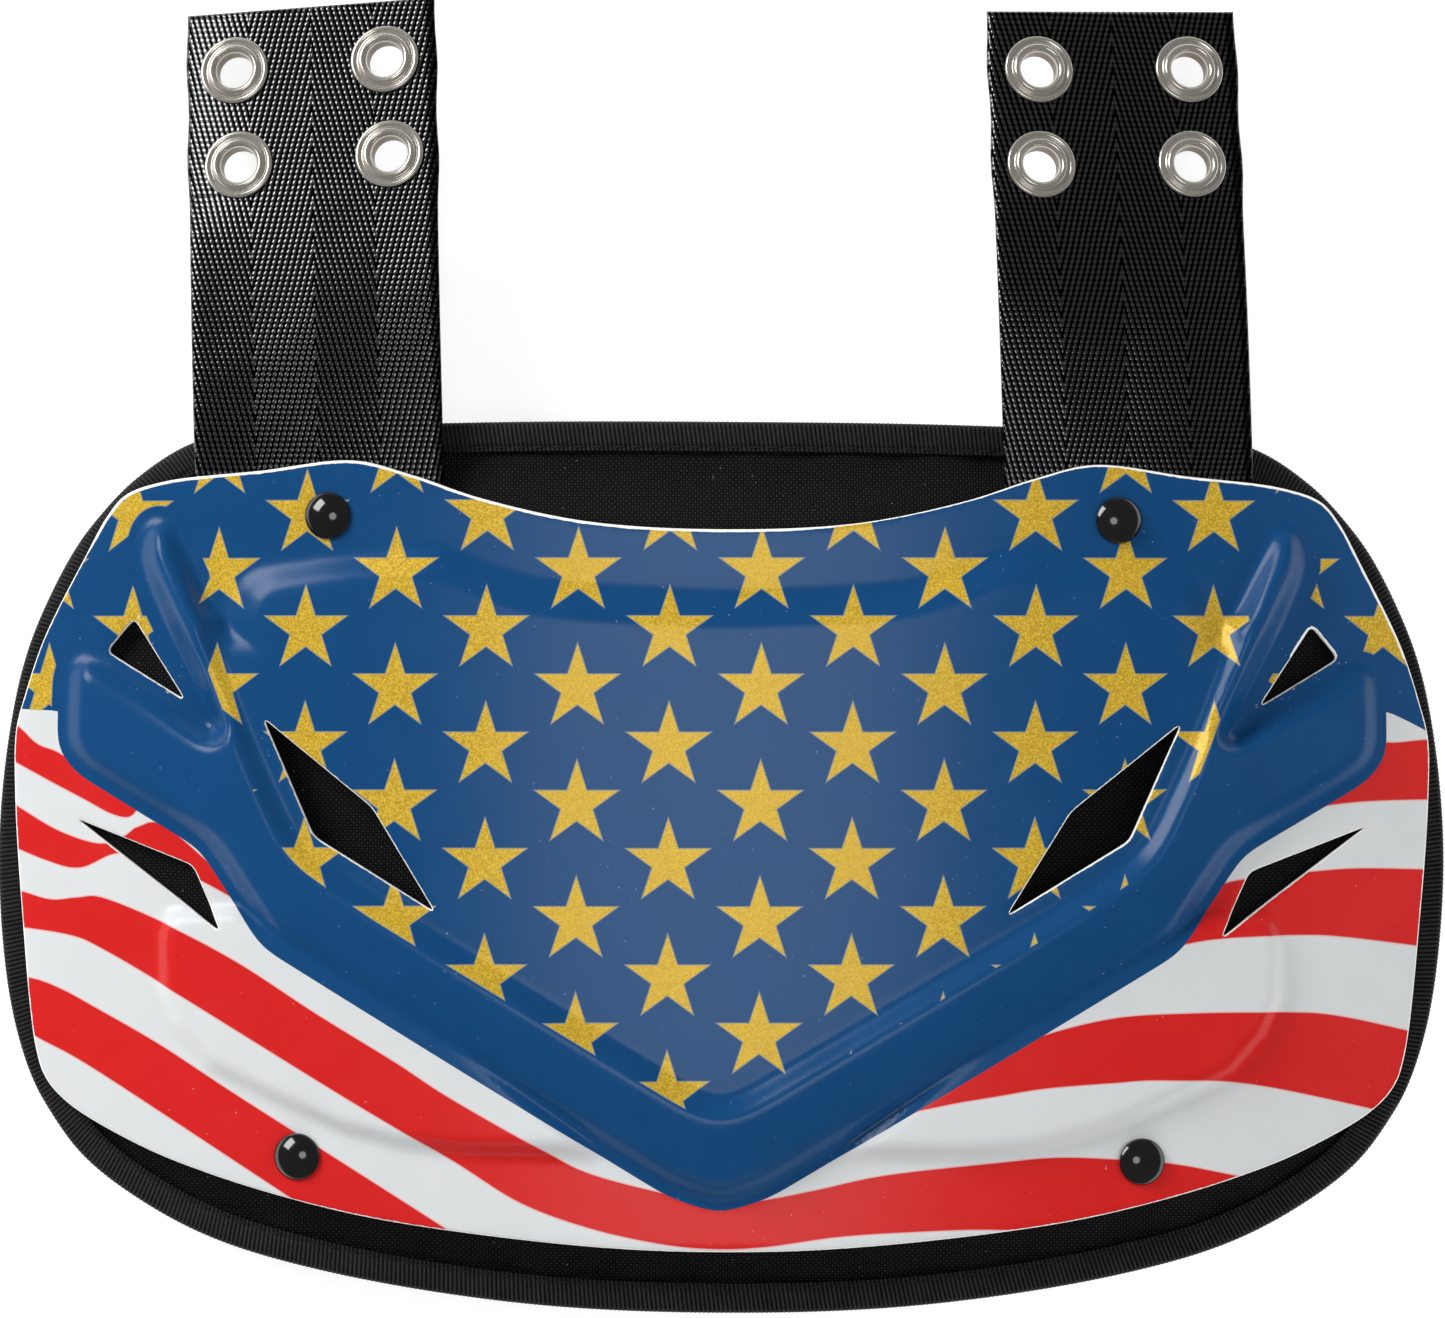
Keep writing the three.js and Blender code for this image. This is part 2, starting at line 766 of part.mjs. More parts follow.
for (const strap of strapRows) {
  addPiece(`strap_${strap.name}`, strapGeometry(strap), finishes.webbing);
  eyeletPlaces(strap).forEach((place, k) => {
    placeOnStrap(addPiece(`eyelet_${strap.name}_${k + 1}`, eyeletGeometry(), finishes.nickel), strap, place);
  });
}

for (const row of rivetRows) {
  placeOnRivet(addPiece(`rivet_${row.name}`, rivetGeometry(row), finishes.rivet), row);
}

// The origin is the middle of the whole part, on the surface that it lies on.
group.updateMatrixWorld(true);
const extent = new THREE.Box3().setFromObject(group, true);
const middle = extent.getCenter(new THREE.Vector3());
group.position.set(-middle.x, -middle.y, -extent.min.z);

export default group;
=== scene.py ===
# Football back plate, lying face up: printed plate, bound pad, two webbing straps, eyelets and rivets.
# Plans and heights are worked out in millimetres and put into the meshes in metres.

import math

import bpy
import numpy as np
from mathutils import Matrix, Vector
from mathutils.geometry import delaunay_2d_cdt


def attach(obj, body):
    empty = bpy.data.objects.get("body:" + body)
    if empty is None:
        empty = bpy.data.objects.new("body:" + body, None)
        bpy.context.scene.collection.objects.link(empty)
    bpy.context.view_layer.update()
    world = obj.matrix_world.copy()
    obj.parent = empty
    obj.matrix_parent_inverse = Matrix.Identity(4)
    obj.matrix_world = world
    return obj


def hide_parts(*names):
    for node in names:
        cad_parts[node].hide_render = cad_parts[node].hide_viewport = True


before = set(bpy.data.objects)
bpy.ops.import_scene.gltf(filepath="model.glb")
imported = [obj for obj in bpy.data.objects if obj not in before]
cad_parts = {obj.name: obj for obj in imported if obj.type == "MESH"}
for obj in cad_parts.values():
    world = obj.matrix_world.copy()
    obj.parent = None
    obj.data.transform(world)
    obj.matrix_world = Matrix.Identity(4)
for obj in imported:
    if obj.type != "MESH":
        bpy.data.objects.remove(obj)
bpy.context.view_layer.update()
scene = bpy.context.scene
mm = 0.001

# what the pieces share
arch = {
    "middleY": 133.0435,     # from the pad's lower edge to the origin
    "sag": 17.0,             # rise of the pad's back in the middle
    "power": 2.4,
    "reach": 138.0,          # where the back meets the surface
    "padThickness": 12.0,
    "seat": 0.3,             # gap between pieces that touch
    "tapeHeight": 5.6,
    "plateHalf": 143.8,
    "rivetHole": 2.6,
}


def smoothStep(share):
    s = np.clip(share, 0, 1)
    return s * s * (3 - 2 * s)


# the pad's back: sag * (1 - (|x| / reach) ^ power)
def backLevel(x):
    return arch["sag"] * np.maximum(0, 1 - (np.abs(x) / arch["reach"]) ** arch["power"])


# the underside of the plate's rim: crown - drop * (|x| / half) ^ power
def rimUnder(x):
    crown = arch["sag"] + arch["padThickness"] + arch["seat"]
    drop = crown - arch["tapeHeight"] - arch["seat"]
    return crown - drop * (np.abs(x) / arch["plateHalf"]) ** arch["power"]


# a half table of (across, up) shares and its mirror image, as one closed ring, clockwise
def mirrorRing(rows, half, low, height):
    right = np.array(rows) * [half, height] + [0, low]
    left = right[right[:, 0] > 0][::-1] * [-1, 1]
    return np.vstack([right, left])


# even steps along a closed line
def evenRing(points, count):
    closed = np.vstack([points, points[:1]])
    length = np.r_[0, np.cumsum(np.hypot(*np.diff(closed, axis=0).T))]
    at = np.linspace(0, length[-1], count, endpoint=False)
    return np.c_[np.interp(at, length, closed[:, 0]), np.interp(at, length, closed[:, 1])]


def ringLength(points):
    return np.hypot(*(np.roll(points, -1, 0) - points).T).sum()


# centripetal Catmull-Rom curve through a closed ring of knots, then even steps
def smoothRing(knots, count):
    p0, p1, p2, p3 = (np.roll(knots, shift, 0) for shift in (1, 0, -1, -2))
    d1, d2, d3 = (np.hypot(*(b - a).T)[:, None] ** 0.5 for a, b in ((p0, p1), (p1, p2), (p2, p3)))
    m1 = ((p1 - p0) / d1 - (p2 - p0) / (d1 + d2) + (p2 - p1) / d2) * d2
    m2 = ((p2 - p1) / d2 - (p3 - p1) / (d2 + d3) + (p3 - p2) / d3) * d2
    t = np.linspace(0, 1, 48, endpoint=False)[:, None, None]
    curve = ((2 * t**3 - 3 * t**2 + 1) * p1 + (t**3 - 2 * t**2 + t) * m1
             + (3 * t**2 - 2 * t**3) * p2 + (t**3 - t**2) * m2)
    return evenRing(curve.transpose(1, 0, 2).reshape(-1, 2), count)


# a polygon with its corners eased: even steps, then a few rounds of neighbour averages
def easedRing(corners, step, rounds):
    corners = np.array(corners, float)
    ring = evenRing(corners, max(12, int(round(ringLength(corners) / step))))
    for _ in range(rounds):
        ring = (np.roll(ring, 1, 0) + 2 * ring + np.roll(ring, -1, 0)) / 4
    return ring


def circle(x, y, radius, count=24):
    turn = np.linspace(0, 2 * np.pi, count, endpoint=False)
    return np.c_[x + radius * np.cos(turn), y + radius * np.sin(turn)]


# twice the area inside a ring, positive when it runs counter-clockwise
def turnOf(ring):
    return np.sum(ring[:, 0] * np.roll(ring[:, 1], -1) - np.roll(ring[:, 0], -1) * ring[:, 1])


# each point moved inwards, square to the way the ring runs
def insetRing(ring, inset):
    along = np.roll(ring, -1, 0) - np.roll(ring, 1, 0)
    along /= np.hypot(*along.T)[:, None]
    inward = np.c_[-along[:, 1], along[:, 0]] * np.sign(turnOf(ring))
    return ring + inward * np.reshape(inset, (-1, 1))


# distance to the nearest edge of a ring, positive inside it
def depthInside(x, y, ring):
    near = np.full(np.shape(x), 1e9)
    inside = np.zeros(np.shape(x), bool)
    for (ax, ay), (bx, by) in zip(np.roll(ring, 1, 0), ring):
        ex, ey = bx - ax, by - ay
        if ex == 0 and ey == 0:
            continue
        share = np.clip(((x - ax) * ex + (y - ay) * ey) / (ex * ex + ey * ey), 0, 1)
        near = np.minimum(near, np.hypot(x - ax - share * ex, y - ay - share * ey))
        crosses = (ay > y) != (by > y)
        inside ^= crosses & (x < ax + (y - ay) * ex / (ey or 1.0))
    return np.where(inside, near, -near)


# values on an even grid, eased by a Gaussian of the given width and read between its points
def easedField(func, low, high, step, width):
    xs = np.arange(low[0], high[0] + step, step)
    ys = np.arange(low[1], high[1] + step, step)
    values = func(*np.meshgrid(xs, ys))
    reach = int(3 * width / step)
    weights = np.exp(-0.5 * (np.arange(-reach, reach + 1) * step / width) ** 2)
    weights /= weights.sum()
    for axis in (0, 1):
        margins = [(reach, reach) if a == axis else (0, 0) for a in (0, 1)]
        padded = np.pad(values, margins, mode="edge")
        size = values.shape[axis]
        values = sum(w * np.take(padded, range(k, k + size), axis) for k, w in enumerate(weights))

    def read(x, y):
        i = np.clip((x - low[0]) / step, 0, len(xs) - 1.001)
        j = np.clip((y - low[1]) / step, 0, len(ys) - 1.001)
        i0, j0 = i.astype(int), j.astype(int)
        fi, fj = i - i0, j - j0
        lower = values[j0, i0] * (1 - fi) + values[j0, i0 + 1] * fi
        upper = values[j0 + 1, i0] * (1 - fi) + values[j0 + 1, i0 + 1] * fi
        return lower * (1 - fj) + upper * fj
    return read


# a sum of a few sine waves in seeded directions, about -1 to 1, for slow unevenness
def slowWaves(x, y, length, seed):
    draw = np.random.default_rng(seed)
    total = np.zeros(np.shape(x))
    for _ in range(6):
        turn, phase = draw.uniform(0, 2 * np.pi, 2)
        k = 2 * np.pi / (length * draw.uniform(0.7, 1.5))
        total += np.sin(k * (x * np.cos(turn) + y * np.sin(turn)) + phase)
    return total / 3


def addMesh(name, points, faces, material):
    mesh = bpy.data.meshes.new(name)
    mesh.from_pydata((np.asarray(points) * mm).tolist(), [], np.asarray(faces).tolist())
    mesh.polygons.foreach_set("use_smooth", np.full(len(mesh.polygons), True))
    mesh.materials.append(material)
    mesh.update()
    piece = bpy.data.objects.new(name, mesh)
    scene.collection.objects.link(piece)
    return piece


def addAttribute(piece, name, values):
    values = np.asarray(values, np.float32)
    kind, field = ("FLOAT", "value") if values.ndim == 1 else ("FLOAT_VECTOR", "vector")
    attribute = piece.data.attributes.new(name, kind, "POINT")
    attribute.data.foreach_set(field, values.ravel())


def finishPiece(piece, slot, *nodes):
    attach(piece, "root")
    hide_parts(*nodes)


# Plan points inside an outline and clear of its openings, joined into triangles: the rings,
# rings set back from them, and a hexagonal net. Returns points, triangles and the edge distance.
def planNet(outline, openings, cell, setBacks):
    rings = [outline] + openings
    parts, edges, start = [], [], 0
    for ring in rings:
        count = len(ring)
        order = np.arange(count)
        edges.append(np.c_[order, (order + 1) % count] + start)
        parts.append(ring)
        start += count
    for ring, sign in zip(rings, [1] + [-1] * len(openings)):
        parts.extend(insetRing(ring, sign * back) for back in setBacks)
    low, high = outline.min(0), outline.max(0)
    rowStep = cell * math.sqrt(3) / 2
    ys = np.arange(low[1], high[1], rowStep)
    xs = np.arange(low[0], high[0], cell)
    gridX, gridY = np.meshgrid(xs, ys)
    gridX[1::2] += cell / 2
    net = np.c_[gridX.ravel(), gridY.ravel()]

    def edgeDistance(p):
        depth = depthInside(p[:, 0], p[:, 1], outline)
        for ring in openings:
            depth = np.minimum(depth, -depthInside(p[:, 0], p[:, 1], ring))
        return depth

    clear = (max(setBacks) if setBacks else 0) + 0.55 * cell
    parts.append(net[edgeDistance(net) > clear])
    cloud = [Vector(p) for p in np.vstack(parts).tolist()]
    joined = delaunay_2d_cdt(cloud, np.vstack(edges).tolist(), [], 0, 1e-4)
    points = np.array([tuple(p) for p in joined[0]])
    triangles = np.array(joined[2])
    middle = points[triangles].mean(1)
    triangles = triangles[edgeDistance(middle) > 0]
    a, b, c = (points[triangles[:, k]] for k in range(3))
    turned = (b - a)[:, 0] * (c - a)[:, 1] - (b - a)[:, 1] * (c - a)[:, 0] < 0
    triangles[turned] = triangles[turned][:, ::-1]
    used, triangles = np.unique(triangles, return_inverse=True)
    return points[used], triangles.reshape(-1, 3), np.maximum(edgeDistance(points[used]), 0)


# a wall between two height functions over the net, closed round every rim
def closedSheet(points, triangles, top, bottom):
    count = len(points)
    sides = np.vstack([triangles[:, [0, 1]], triangles[:, [1, 2]], triangles[:, [2, 0]]])
    forward = sides[:, 0] * count + sides[:, 1]
    backward = sides[:, 1] * count + sides[:, 0]
    rim = sides[~np.isin(forward, backward)]
    a, b = rim.T
    faces = np.vstack([
        triangles,
        triangles[:, ::-1] + count,
        np.c_[a, a + count, b + count],
        np.c_[a, b + count, b],
    ])
    return np.vstack([np.c_[points, top], np.c_[points, bottom]]), faces


# a profile of (radius, height) turned about the upright axis, either from the axis back to the
# axis or closed as a ring; each piece is then tilted and moved to its place
def turnedProfile(profile, count, closedRing):
    profile = np.array(profile, float)
    turn = np.linspace(0, 2 * np.pi, count, endpoint=False)
    radius, height = profile[:, 0], profile[:, 1]
    points = np.stack([
        np.outer(np.cos(turn), radius),
        np.outer(np.sin(turn), radius),
        np.tile(height, (count, 1)),
    ], -1).reshape(-1, 3)
    rows = len(profile)
    k = np.arange(count)[:, None]
    r = np.arange(rows if closedRing else rows - 1)[None]
    here, there = k * rows, ((k + 1) % count) * rows
    after = (r + 1) % rows
    quads = np.stack([here + r, there + r, there + after, here + after], -1).reshape(-1, 4)
    return points, quads


# a number in a shader; arithmetic on it adds Math nodes
class Value:
    def __init__(self, paint, socket):
        self.paint = paint
        self.socket = socket

    def op(self, operation, *others):
        sockets = dict(enumerate((self,) + others))
        node = self.paint.node("ShaderNodeMath", {"operation": operation}, sockets)
        return Value(self.paint, node.outputs[0])

    def __add__(self, other): return self.op("ADD", other)
    def __radd__(self, other): return self.op("ADD", other)
    def __sub__(self, other): return self.op("SUBTRACT", other)
    def __mul__(self, other): return self.op("MULTIPLY", other)
    def __rmul__(self, other): return self.op("MULTIPLY", other)
    def __truediv__(self, other): return self.op("DIVIDE", other)
    def __neg__(self): return self.op("MULTIPLY", -1.0)

    def __rsub__(self, other):
        node = self.paint.node("ShaderNodeMath", {"operation": "SUBTRACT"}, {0: other, 1: self})
        return Value(self.paint, node.outputs[0])

    def high(self, other): return self.op("MAXIMUM", other)
    def low(self, other): return self.op("MINIMUM", other)
    def abs(self): return self.op("ABSOLUTE")
    def cos(self): return self.op("COSINE")
    def sin(self): return self.op("SINE")
    def wrap(self, size): return self.op("WRAP", size / 2, -size / 2)

    # 0 below the edge, 1 above it, over a narrow slope
    def past(self, edge, blur=0.05):
        return ((self - edge) / blur + 0.5).high(0.0).low(1.0)


# one material's node tree
class Paint:
    def __init__(self, name):
        self.material = bpy.data.materials.new(name)
        self.material.use_nodes = True
        self.tree = self.material.node_tree
        self.tree.nodes.clear()
        self.output = self.node("ShaderNodeOutputMaterial")

    def feed(self, socket, value):
        if isinstance(value, Value):
            value = value.socket
        if isinstance(value, bpy.types.NodeSocket):
            self.tree.links.new(value, socket)
        elif isinstance(value, (tuple, list)) and socket.type == "RGBA" and len(value) == 3:
            socket.default_value = (*value, 1.0)
        else:
            socket.default_value = value

    def node(self, kind, settings=None, sockets=None):
        made = self.tree.nodes.new(kind)
        for key, value in (settings or {}).items():
            setattr(made, key, value)
        for key, value in (sockets or {}).items():
            self.feed(made.inputs[key], value)
        return made

    # the three numbers of an attribute
    def attribute(self, name):
        source = self.node("ShaderNodeAttribute", {"attribute_type": "GEOMETRY", "attribute_name": name})
        split = self.node("ShaderNodeSeparateXYZ", None, {0: source.outputs["Vector"]})
        return [Value(self, split.outputs[k]) for k in range(3)]

    # an attribute of one number
    def number(self, name):
        return Value(self, self.node("ShaderNodeAttribute", {"attribute_name": name}).outputs["Fac"])

    def place(self):
        return self.node("ShaderNodeTexCoord").outputs["Object"]

    def noise(self, scale, detail=2.0, rough=0.5):
        made = self.node("ShaderNodeTexNoise", None, {
            "Vector": self.place(), "Scale": scale, "Detail": detail, "Roughness": rough})
        return Value(self, made.outputs[0])

    def mix(self, share, first, second):
        made = self.node("ShaderNodeMix", {"data_type": "RGBA"}, {0: share, 6: first, 7: second})
        return made.outputs[2]

    # relief in the shading, over another relief where one is given
    def bump(self, height, distance, strength=1.0, under=None):
        sockets = {"Height": height, "Distance": distance, "Strength": strength}
        if under is not None:
            sockets["Normal"] = under
        return self.node("ShaderNodeBump", None, sockets).outputs[0]

    def surface(self, **sockets):
        names = {key.replace("_", " "): value for key, value in sockets.items()}
        shader = self.node("ShaderNodeBsdfPrincipled", None, names)
        self.feed(self.output.inputs["Surface"], shader.outputs[0])
        return self.material


print("frame loaded")

# Plate

plate = {
    "half": 143.8,
    "height": 158.1,
    "foot": 13.2,
    "wall": 3.0,
    "panelRise": 3.0,
    "panelSlope": 8.0,
    "bandRise": 6.5,
    "bandFall": 3.5,
    "bandWall": 5.2,
    "bossRise": 2.8,
    "bossWall": 3.6,
    "soften": 0.6,           # how softly the mould rounds its edges
    "edgeRound": 0.45,
    "reliefStep": 0.5,       # grid on which the relief is worked out
    "rimPoints": 860,
    "cell": 1.15,
    "starRadius": 8.6,
    "starAcross": 36.7,      # pitch of the stars along a row
    "starRow": 11.62,        # from one row to the next
    "starMiddle": (-10.6, 4.75),
    "starTilt": 0.0059,      # the rows climb a little to the right
    "glitter": 3400.0,
    "blueOver": 1.0,         # how far the blue runs past the V band
    "plainOver": 2.5,        # the stars stop this far outside the V band
    "plainShort": 4.5,       # and start again this far from the panel
    "shortRight": 0.3,       # how far the film stops short of the upper edge, to the right
    "shortLeft": 0.35,       # and over the left shoulder
}

plateRim = [
    (0, .915), (.189, .924), (.339, .953), (.435, .982), (.517, 1), (.647, .987), (.786, .973),
    (.841, .956), (.866, .931), (.901, .874), (.958, .773), (.986, .7), (.999, .654), (1, .575),
    (.99, .435), (.967, .245), (.952, .207), (.918, .175), (.817, .125), (.727, .094), (.6, .061),
    (.462, .035), (.183, .006), (0, 0),
]
panelEdge = [
    (0, .839), (.174, .846), (.257, .853), (.327, .873), (.396, .9), (.549, .888), (.654, .873),
    (.685, .852), (.709, .795), (.686, .737), (.636, .618), (.596, .538), (.571, .507),
    (.468, .444), (.035, .21), (0, .197),
]
bandEdge = [
    (.709, .798), (.774, .928), (.794, .932), (.817, .922), (.828, .871), (.786, .789),
    (.751, .732), (.707, .653), (.885, .753), (.908, .755), (.929, .738), (.932, .633),
    (.908, .605), (.727, .509), (.675, .438), (.637, .386), (.066, .074), (0, .055),
]
bossEdge = [
    (.675, .438), (.779, .431), (.796, .397), (.794, .321), (.772, .273), (.722, .221), (.64, .186),
    (.532, .144), (.445, .125), (.348, .117), (.146, .118), (.382, .295),
]
ventCorners = {
    "fork": [(.828, .798), (.867, .756), (.754, .694)],
    "panel": [(.641, .672), (.487, .56), (.398, .428), (.569, .523)],
    "lower": [(.909, .541), (.741, .483), (.7, .399)],
}
rivetPlaces = {
    "top_left": (-79.38, 27.16),
    "top_right": (79.38, 27.16),
    "low_left": (-84.84, -101.64),
    "low_right": (84.84, -101.64),
}


def onPlate(rows, side=1):
    return np.array(rows) * [side * plate["half"], plate["height"]] + [0, plate["foot"] - arch["middleY"]]


def plateRing(rows):
    return mirrorRing(rows, plate["half"], plate["foot"] - arch["middleY"], plate["height"])


panelRing, bandRing = (easedRing(plateRing(rows), 1.5, 5) for rows in (panelEdge, bandEdge))


# What the mould raises over the rim: the panel, the V band that falls away outwards, and the
# bosses, each a smooth step of the distance inside its own ring.
def rawRelief(x, y):
    inPanel = depthInside(x, y, panelRing)
    inVee = depthInside(x, y, bandRing)
    inBand = np.minimum(inVee, -inPanel)
    panel = plate["panelRise"] * smoothStep(np.maximum(inPanel, inVee) / plate["panelSlope"])
    fall = smoothStep((-inPanel - 0.6 * plate["bandWall"]) / (4 * plate["bandWall"]))
    crest = plate["bandRise"] - plate["bandFall"] * fall
    span = np.where(inBand > 0, inVee - inPanel, 1)
    floor = plate["panelRise"] * inVee / span
    band = np.where(inBand > 0, floor + (crest - floor) * smoothStep(inBand / plate["bandWall"]), 0)
    inBoss = np.maximum(*(depthInside(x, y, onPlate(bossEdge, side)) for side in (-1, 1)))
    return np.maximum(np.maximum(panel, band), plate["bossRise"] * smoothStep(inBoss / plate["bossWall"]))


relief = easedField(rawRelief, (-150, -125), (150, 45), plate["reliefStep"], plate["soften"])

# The printed stripes: knots along the upper and the lower edge of each red one, from the left.
redStripes = [
    ([(-150, -11), (-143, -15.5), (-139, -19), (-134, -21), (-125, -27), (-117, -31)],
     [(-150, -20), (-137.5, -26.5), (-129.5, -30.5), (-123.5, -33.5), (-119.5, -34), (-117, -31)]),
    ([(-150, -28), (-143.5, -31.5), (-134.5, -36.5), (-126, -39), (-121, -37.5), (-118, -35.5),
      (-112, -35.5), (-97, -48)],
     [(-150, -38), (-137.5, -43), (-130, -44.5), (-122.5, -41.5), (-115.5, -42.5), (-105.5, -46.5),
      (-95, -52)]),
    ([(-150, -47), (-142, -49), (-136, -50.5), (-130.5, -50), (-125, -50), (-112, -55),
      (-97, -62.5), (-81, -72.5), (-65, -82), (-54, -89), (-36, -99), (-26, -104), (-10.5, -108),
      (0, -110), (9.5, -109), (19.5, -107), (33.5, -104), (56, -101.5), (68, -100.5), (81, -101),
      (92, -102), (107, -105), (150, -114)],
     [(-150, -56), (-133, -58), (-125, -61), (-110.5, -69), (-96, -77.5), (-74, -90.5), (-54, -102),
      (-40, -110.5), (-26, -115.5), (-12, -118.5), (-1, -119.5), (9.5, -119), (23.5, -117),
      (37.5, -116), (56, -115.5), (80, -117), (150, -125)]),
    ([(-150, -66), (-140.5, -66.5), (-134, -68.5), (-126, -72.5), (-113, -79.5), (-98.5, -88.5),
      (-78, -101), (-54.5, -115.5), (-40, -125)],
     [(-150, -73), (-139, -79), (-125.5, -86), (-87.5, -109.5), (-65, -124)]),
    ([(130, -16), (135.5, -17), (142, -16.5), (150, -16)],
     [(110, -33), (118.5, -31), (130.5, -29.5), (150, -29)]),
    ([(92, -50), (100, -46), (106.5, -44.5), (121, -43), (131, -42.5), (150, -43)],
     [(85, -61), (92, -58.5), (101.5, -57), (116.5, -56.5), (127, -57), (150, -60)]),
    ([(48, -82), (62.5, -76.5), (78.5, -72.5), (94.5, -71.5), (112.5, -71.5), (126, -72.5),
      (150, -78)],
     [(22, -98), (34.5, -93), (44.5, -90.5), (56, -88.5), (65.5, -87), (78.5, -86), (89.5, -85.5),
      (110, -87), (150, -96)]),
]
# the blue field's lower edge over the wings; between them it follows the raised band
blueEdge = [(-160, -11.5), (-134, -12.5), (-128, -20), (-60, -20), (0, -60), (60, -20), (128, -20),
            (134, -10.5), (139.5, -13), (143.5, -15), (160, -16), (160, 60), (-160, 60)]


# an open line of knots, smoothed, with twelve points from each knot to the next
def smoothLine(knots):
    knots = np.array(knots, float)
    ends = np.vstack([2 * knots[0] - knots[1], knots, 2 * knots[-1] - knots[-2]])
    p0, p1, p2, p3 = ends[:-3], ends[1:-2], ends[2:-1], ends[3:]
    t = np.linspace(0, 1, 12, endpoint=False)[:, None, None]
    curve = 0.5 * (2 * p1 + (p2 - p0) * t + (2 * p0 - 5 * p1 + 4 * p2 - p3) * t**2
                   + (3 * p1 - p0 - 3 * p2 + p3) * t**3)
    return np.vstack([curve.transpose(1, 0, 2).reshape(-1, 2), knots[-1:]])


# the film's own measure across the plate: the length of the arch from the middle line
archSteps = np.linspace(0, 150, 601)
archSlope = np.gradient(rimUnder(archSteps), archSteps)
archLength = np.r_[0, np.cumsum(np.hypot(1, archSlope)[1:] * np.diff(archSteps))]


def filmAcross(x):
    return np.sign(x) * np.interp(np.abs(x), archSteps, archLength)


def makePlate(material):
    outline = smoothRing(plateRing(plateRim), plate["rimPoints"])[::-1]
    vents = [easedRing(onPlate(rows, side), 0.8, 3)
             for rows in ventCorners.values() for side in (-1, 1)]
    holes = [circle(x, y, arch["rivetHole"]) for x, y in rivetPlaces.values()]
    for ring in vents + holes:
        if turnOf(ring) < 0:
            ring[:] = ring[::-1]
    points, triangles, edge = planNet(outline, vents + holes, plate["cell"], (0.2, 0.5))
    x, y = points.T
    level = rimUnder(x) + relief(x, y)
    r = plate["edgeRound"]
    ease = r - np.sqrt(np.maximum(r * r - np.maximum(r - edge, 0) ** 2, 0))
    top, bottom = level + plate["wall"] - ease, level + 0.4 * ease
    allPoints, faces = closedSheet(points, triangles, top, bottom)
    piece = addMesh("printedPlate", allPoints, faces, material)

    red = np.full(len(points), -99.0)
    for upper, lower in redStripes:
        stripe = np.vstack([smoothLine(upper), smoothLine(lower)[::-1]])
        red = np.maximum(red, depthInside(x, y, stripe))
    inVee = depthInside(x, y, bandRing)
    blue = np.maximum(depthInside(x, y, np.array(blueEdge, float)), inVee + plate["blueOver"])
    plain = np.minimum(inVee + plate["plainOver"], -depthInside(x, y, panelRing) - plate["plainShort"])
    fork = np.max([depthInside(x, y, onPlate(ventCorners["fork"], side)) for side in (-1, 1)], 0)
    # along the upper edge the film stops short, more so at the two ends
    right = plate["shortRight"] * smoothStep((x - 40) / 60)
    left = plate["shortLeft"] * smoothStep((30 - x) / 20) * smoothStep((y - 18) / 6)
    filmEdge = np.where(y > 0, edge - right - left, edge)
    # no film on the underside
    under = np.full(len(points), -5.0)
    across = filmAcross(x)
    addAttribute(piece, "film", np.vstack([np.c_[across, y, filmEdge], np.c_[across, y, under]]))
    addAttribute(piece, "print", np.tile(np.c_[red, blue, plain], (2, 1)))
    addAttribute(piece, "wear", np.tile(-fork, 2))
    print("plate", len(points), "points a side")
    finishPiece(piece, "shell", "shell")


# the distance to the edge of a five-pointed star, in millimetres and positive inside: the turn is
# folded into one point of the star, whose side is a straight line through the tip
def starDepth(across, up):
    fold = 2 * math.pi / 5
    radius = (across * across + up * up).op("SQRT")
    turn = across.op("ARCTAN2", up).wrap(fold).abs()
    tip = radius * turn.cos() - plate["starRadius"]
    return -(tip * math.cos(fold) + radius * turn.sin() * math.sin(fold))


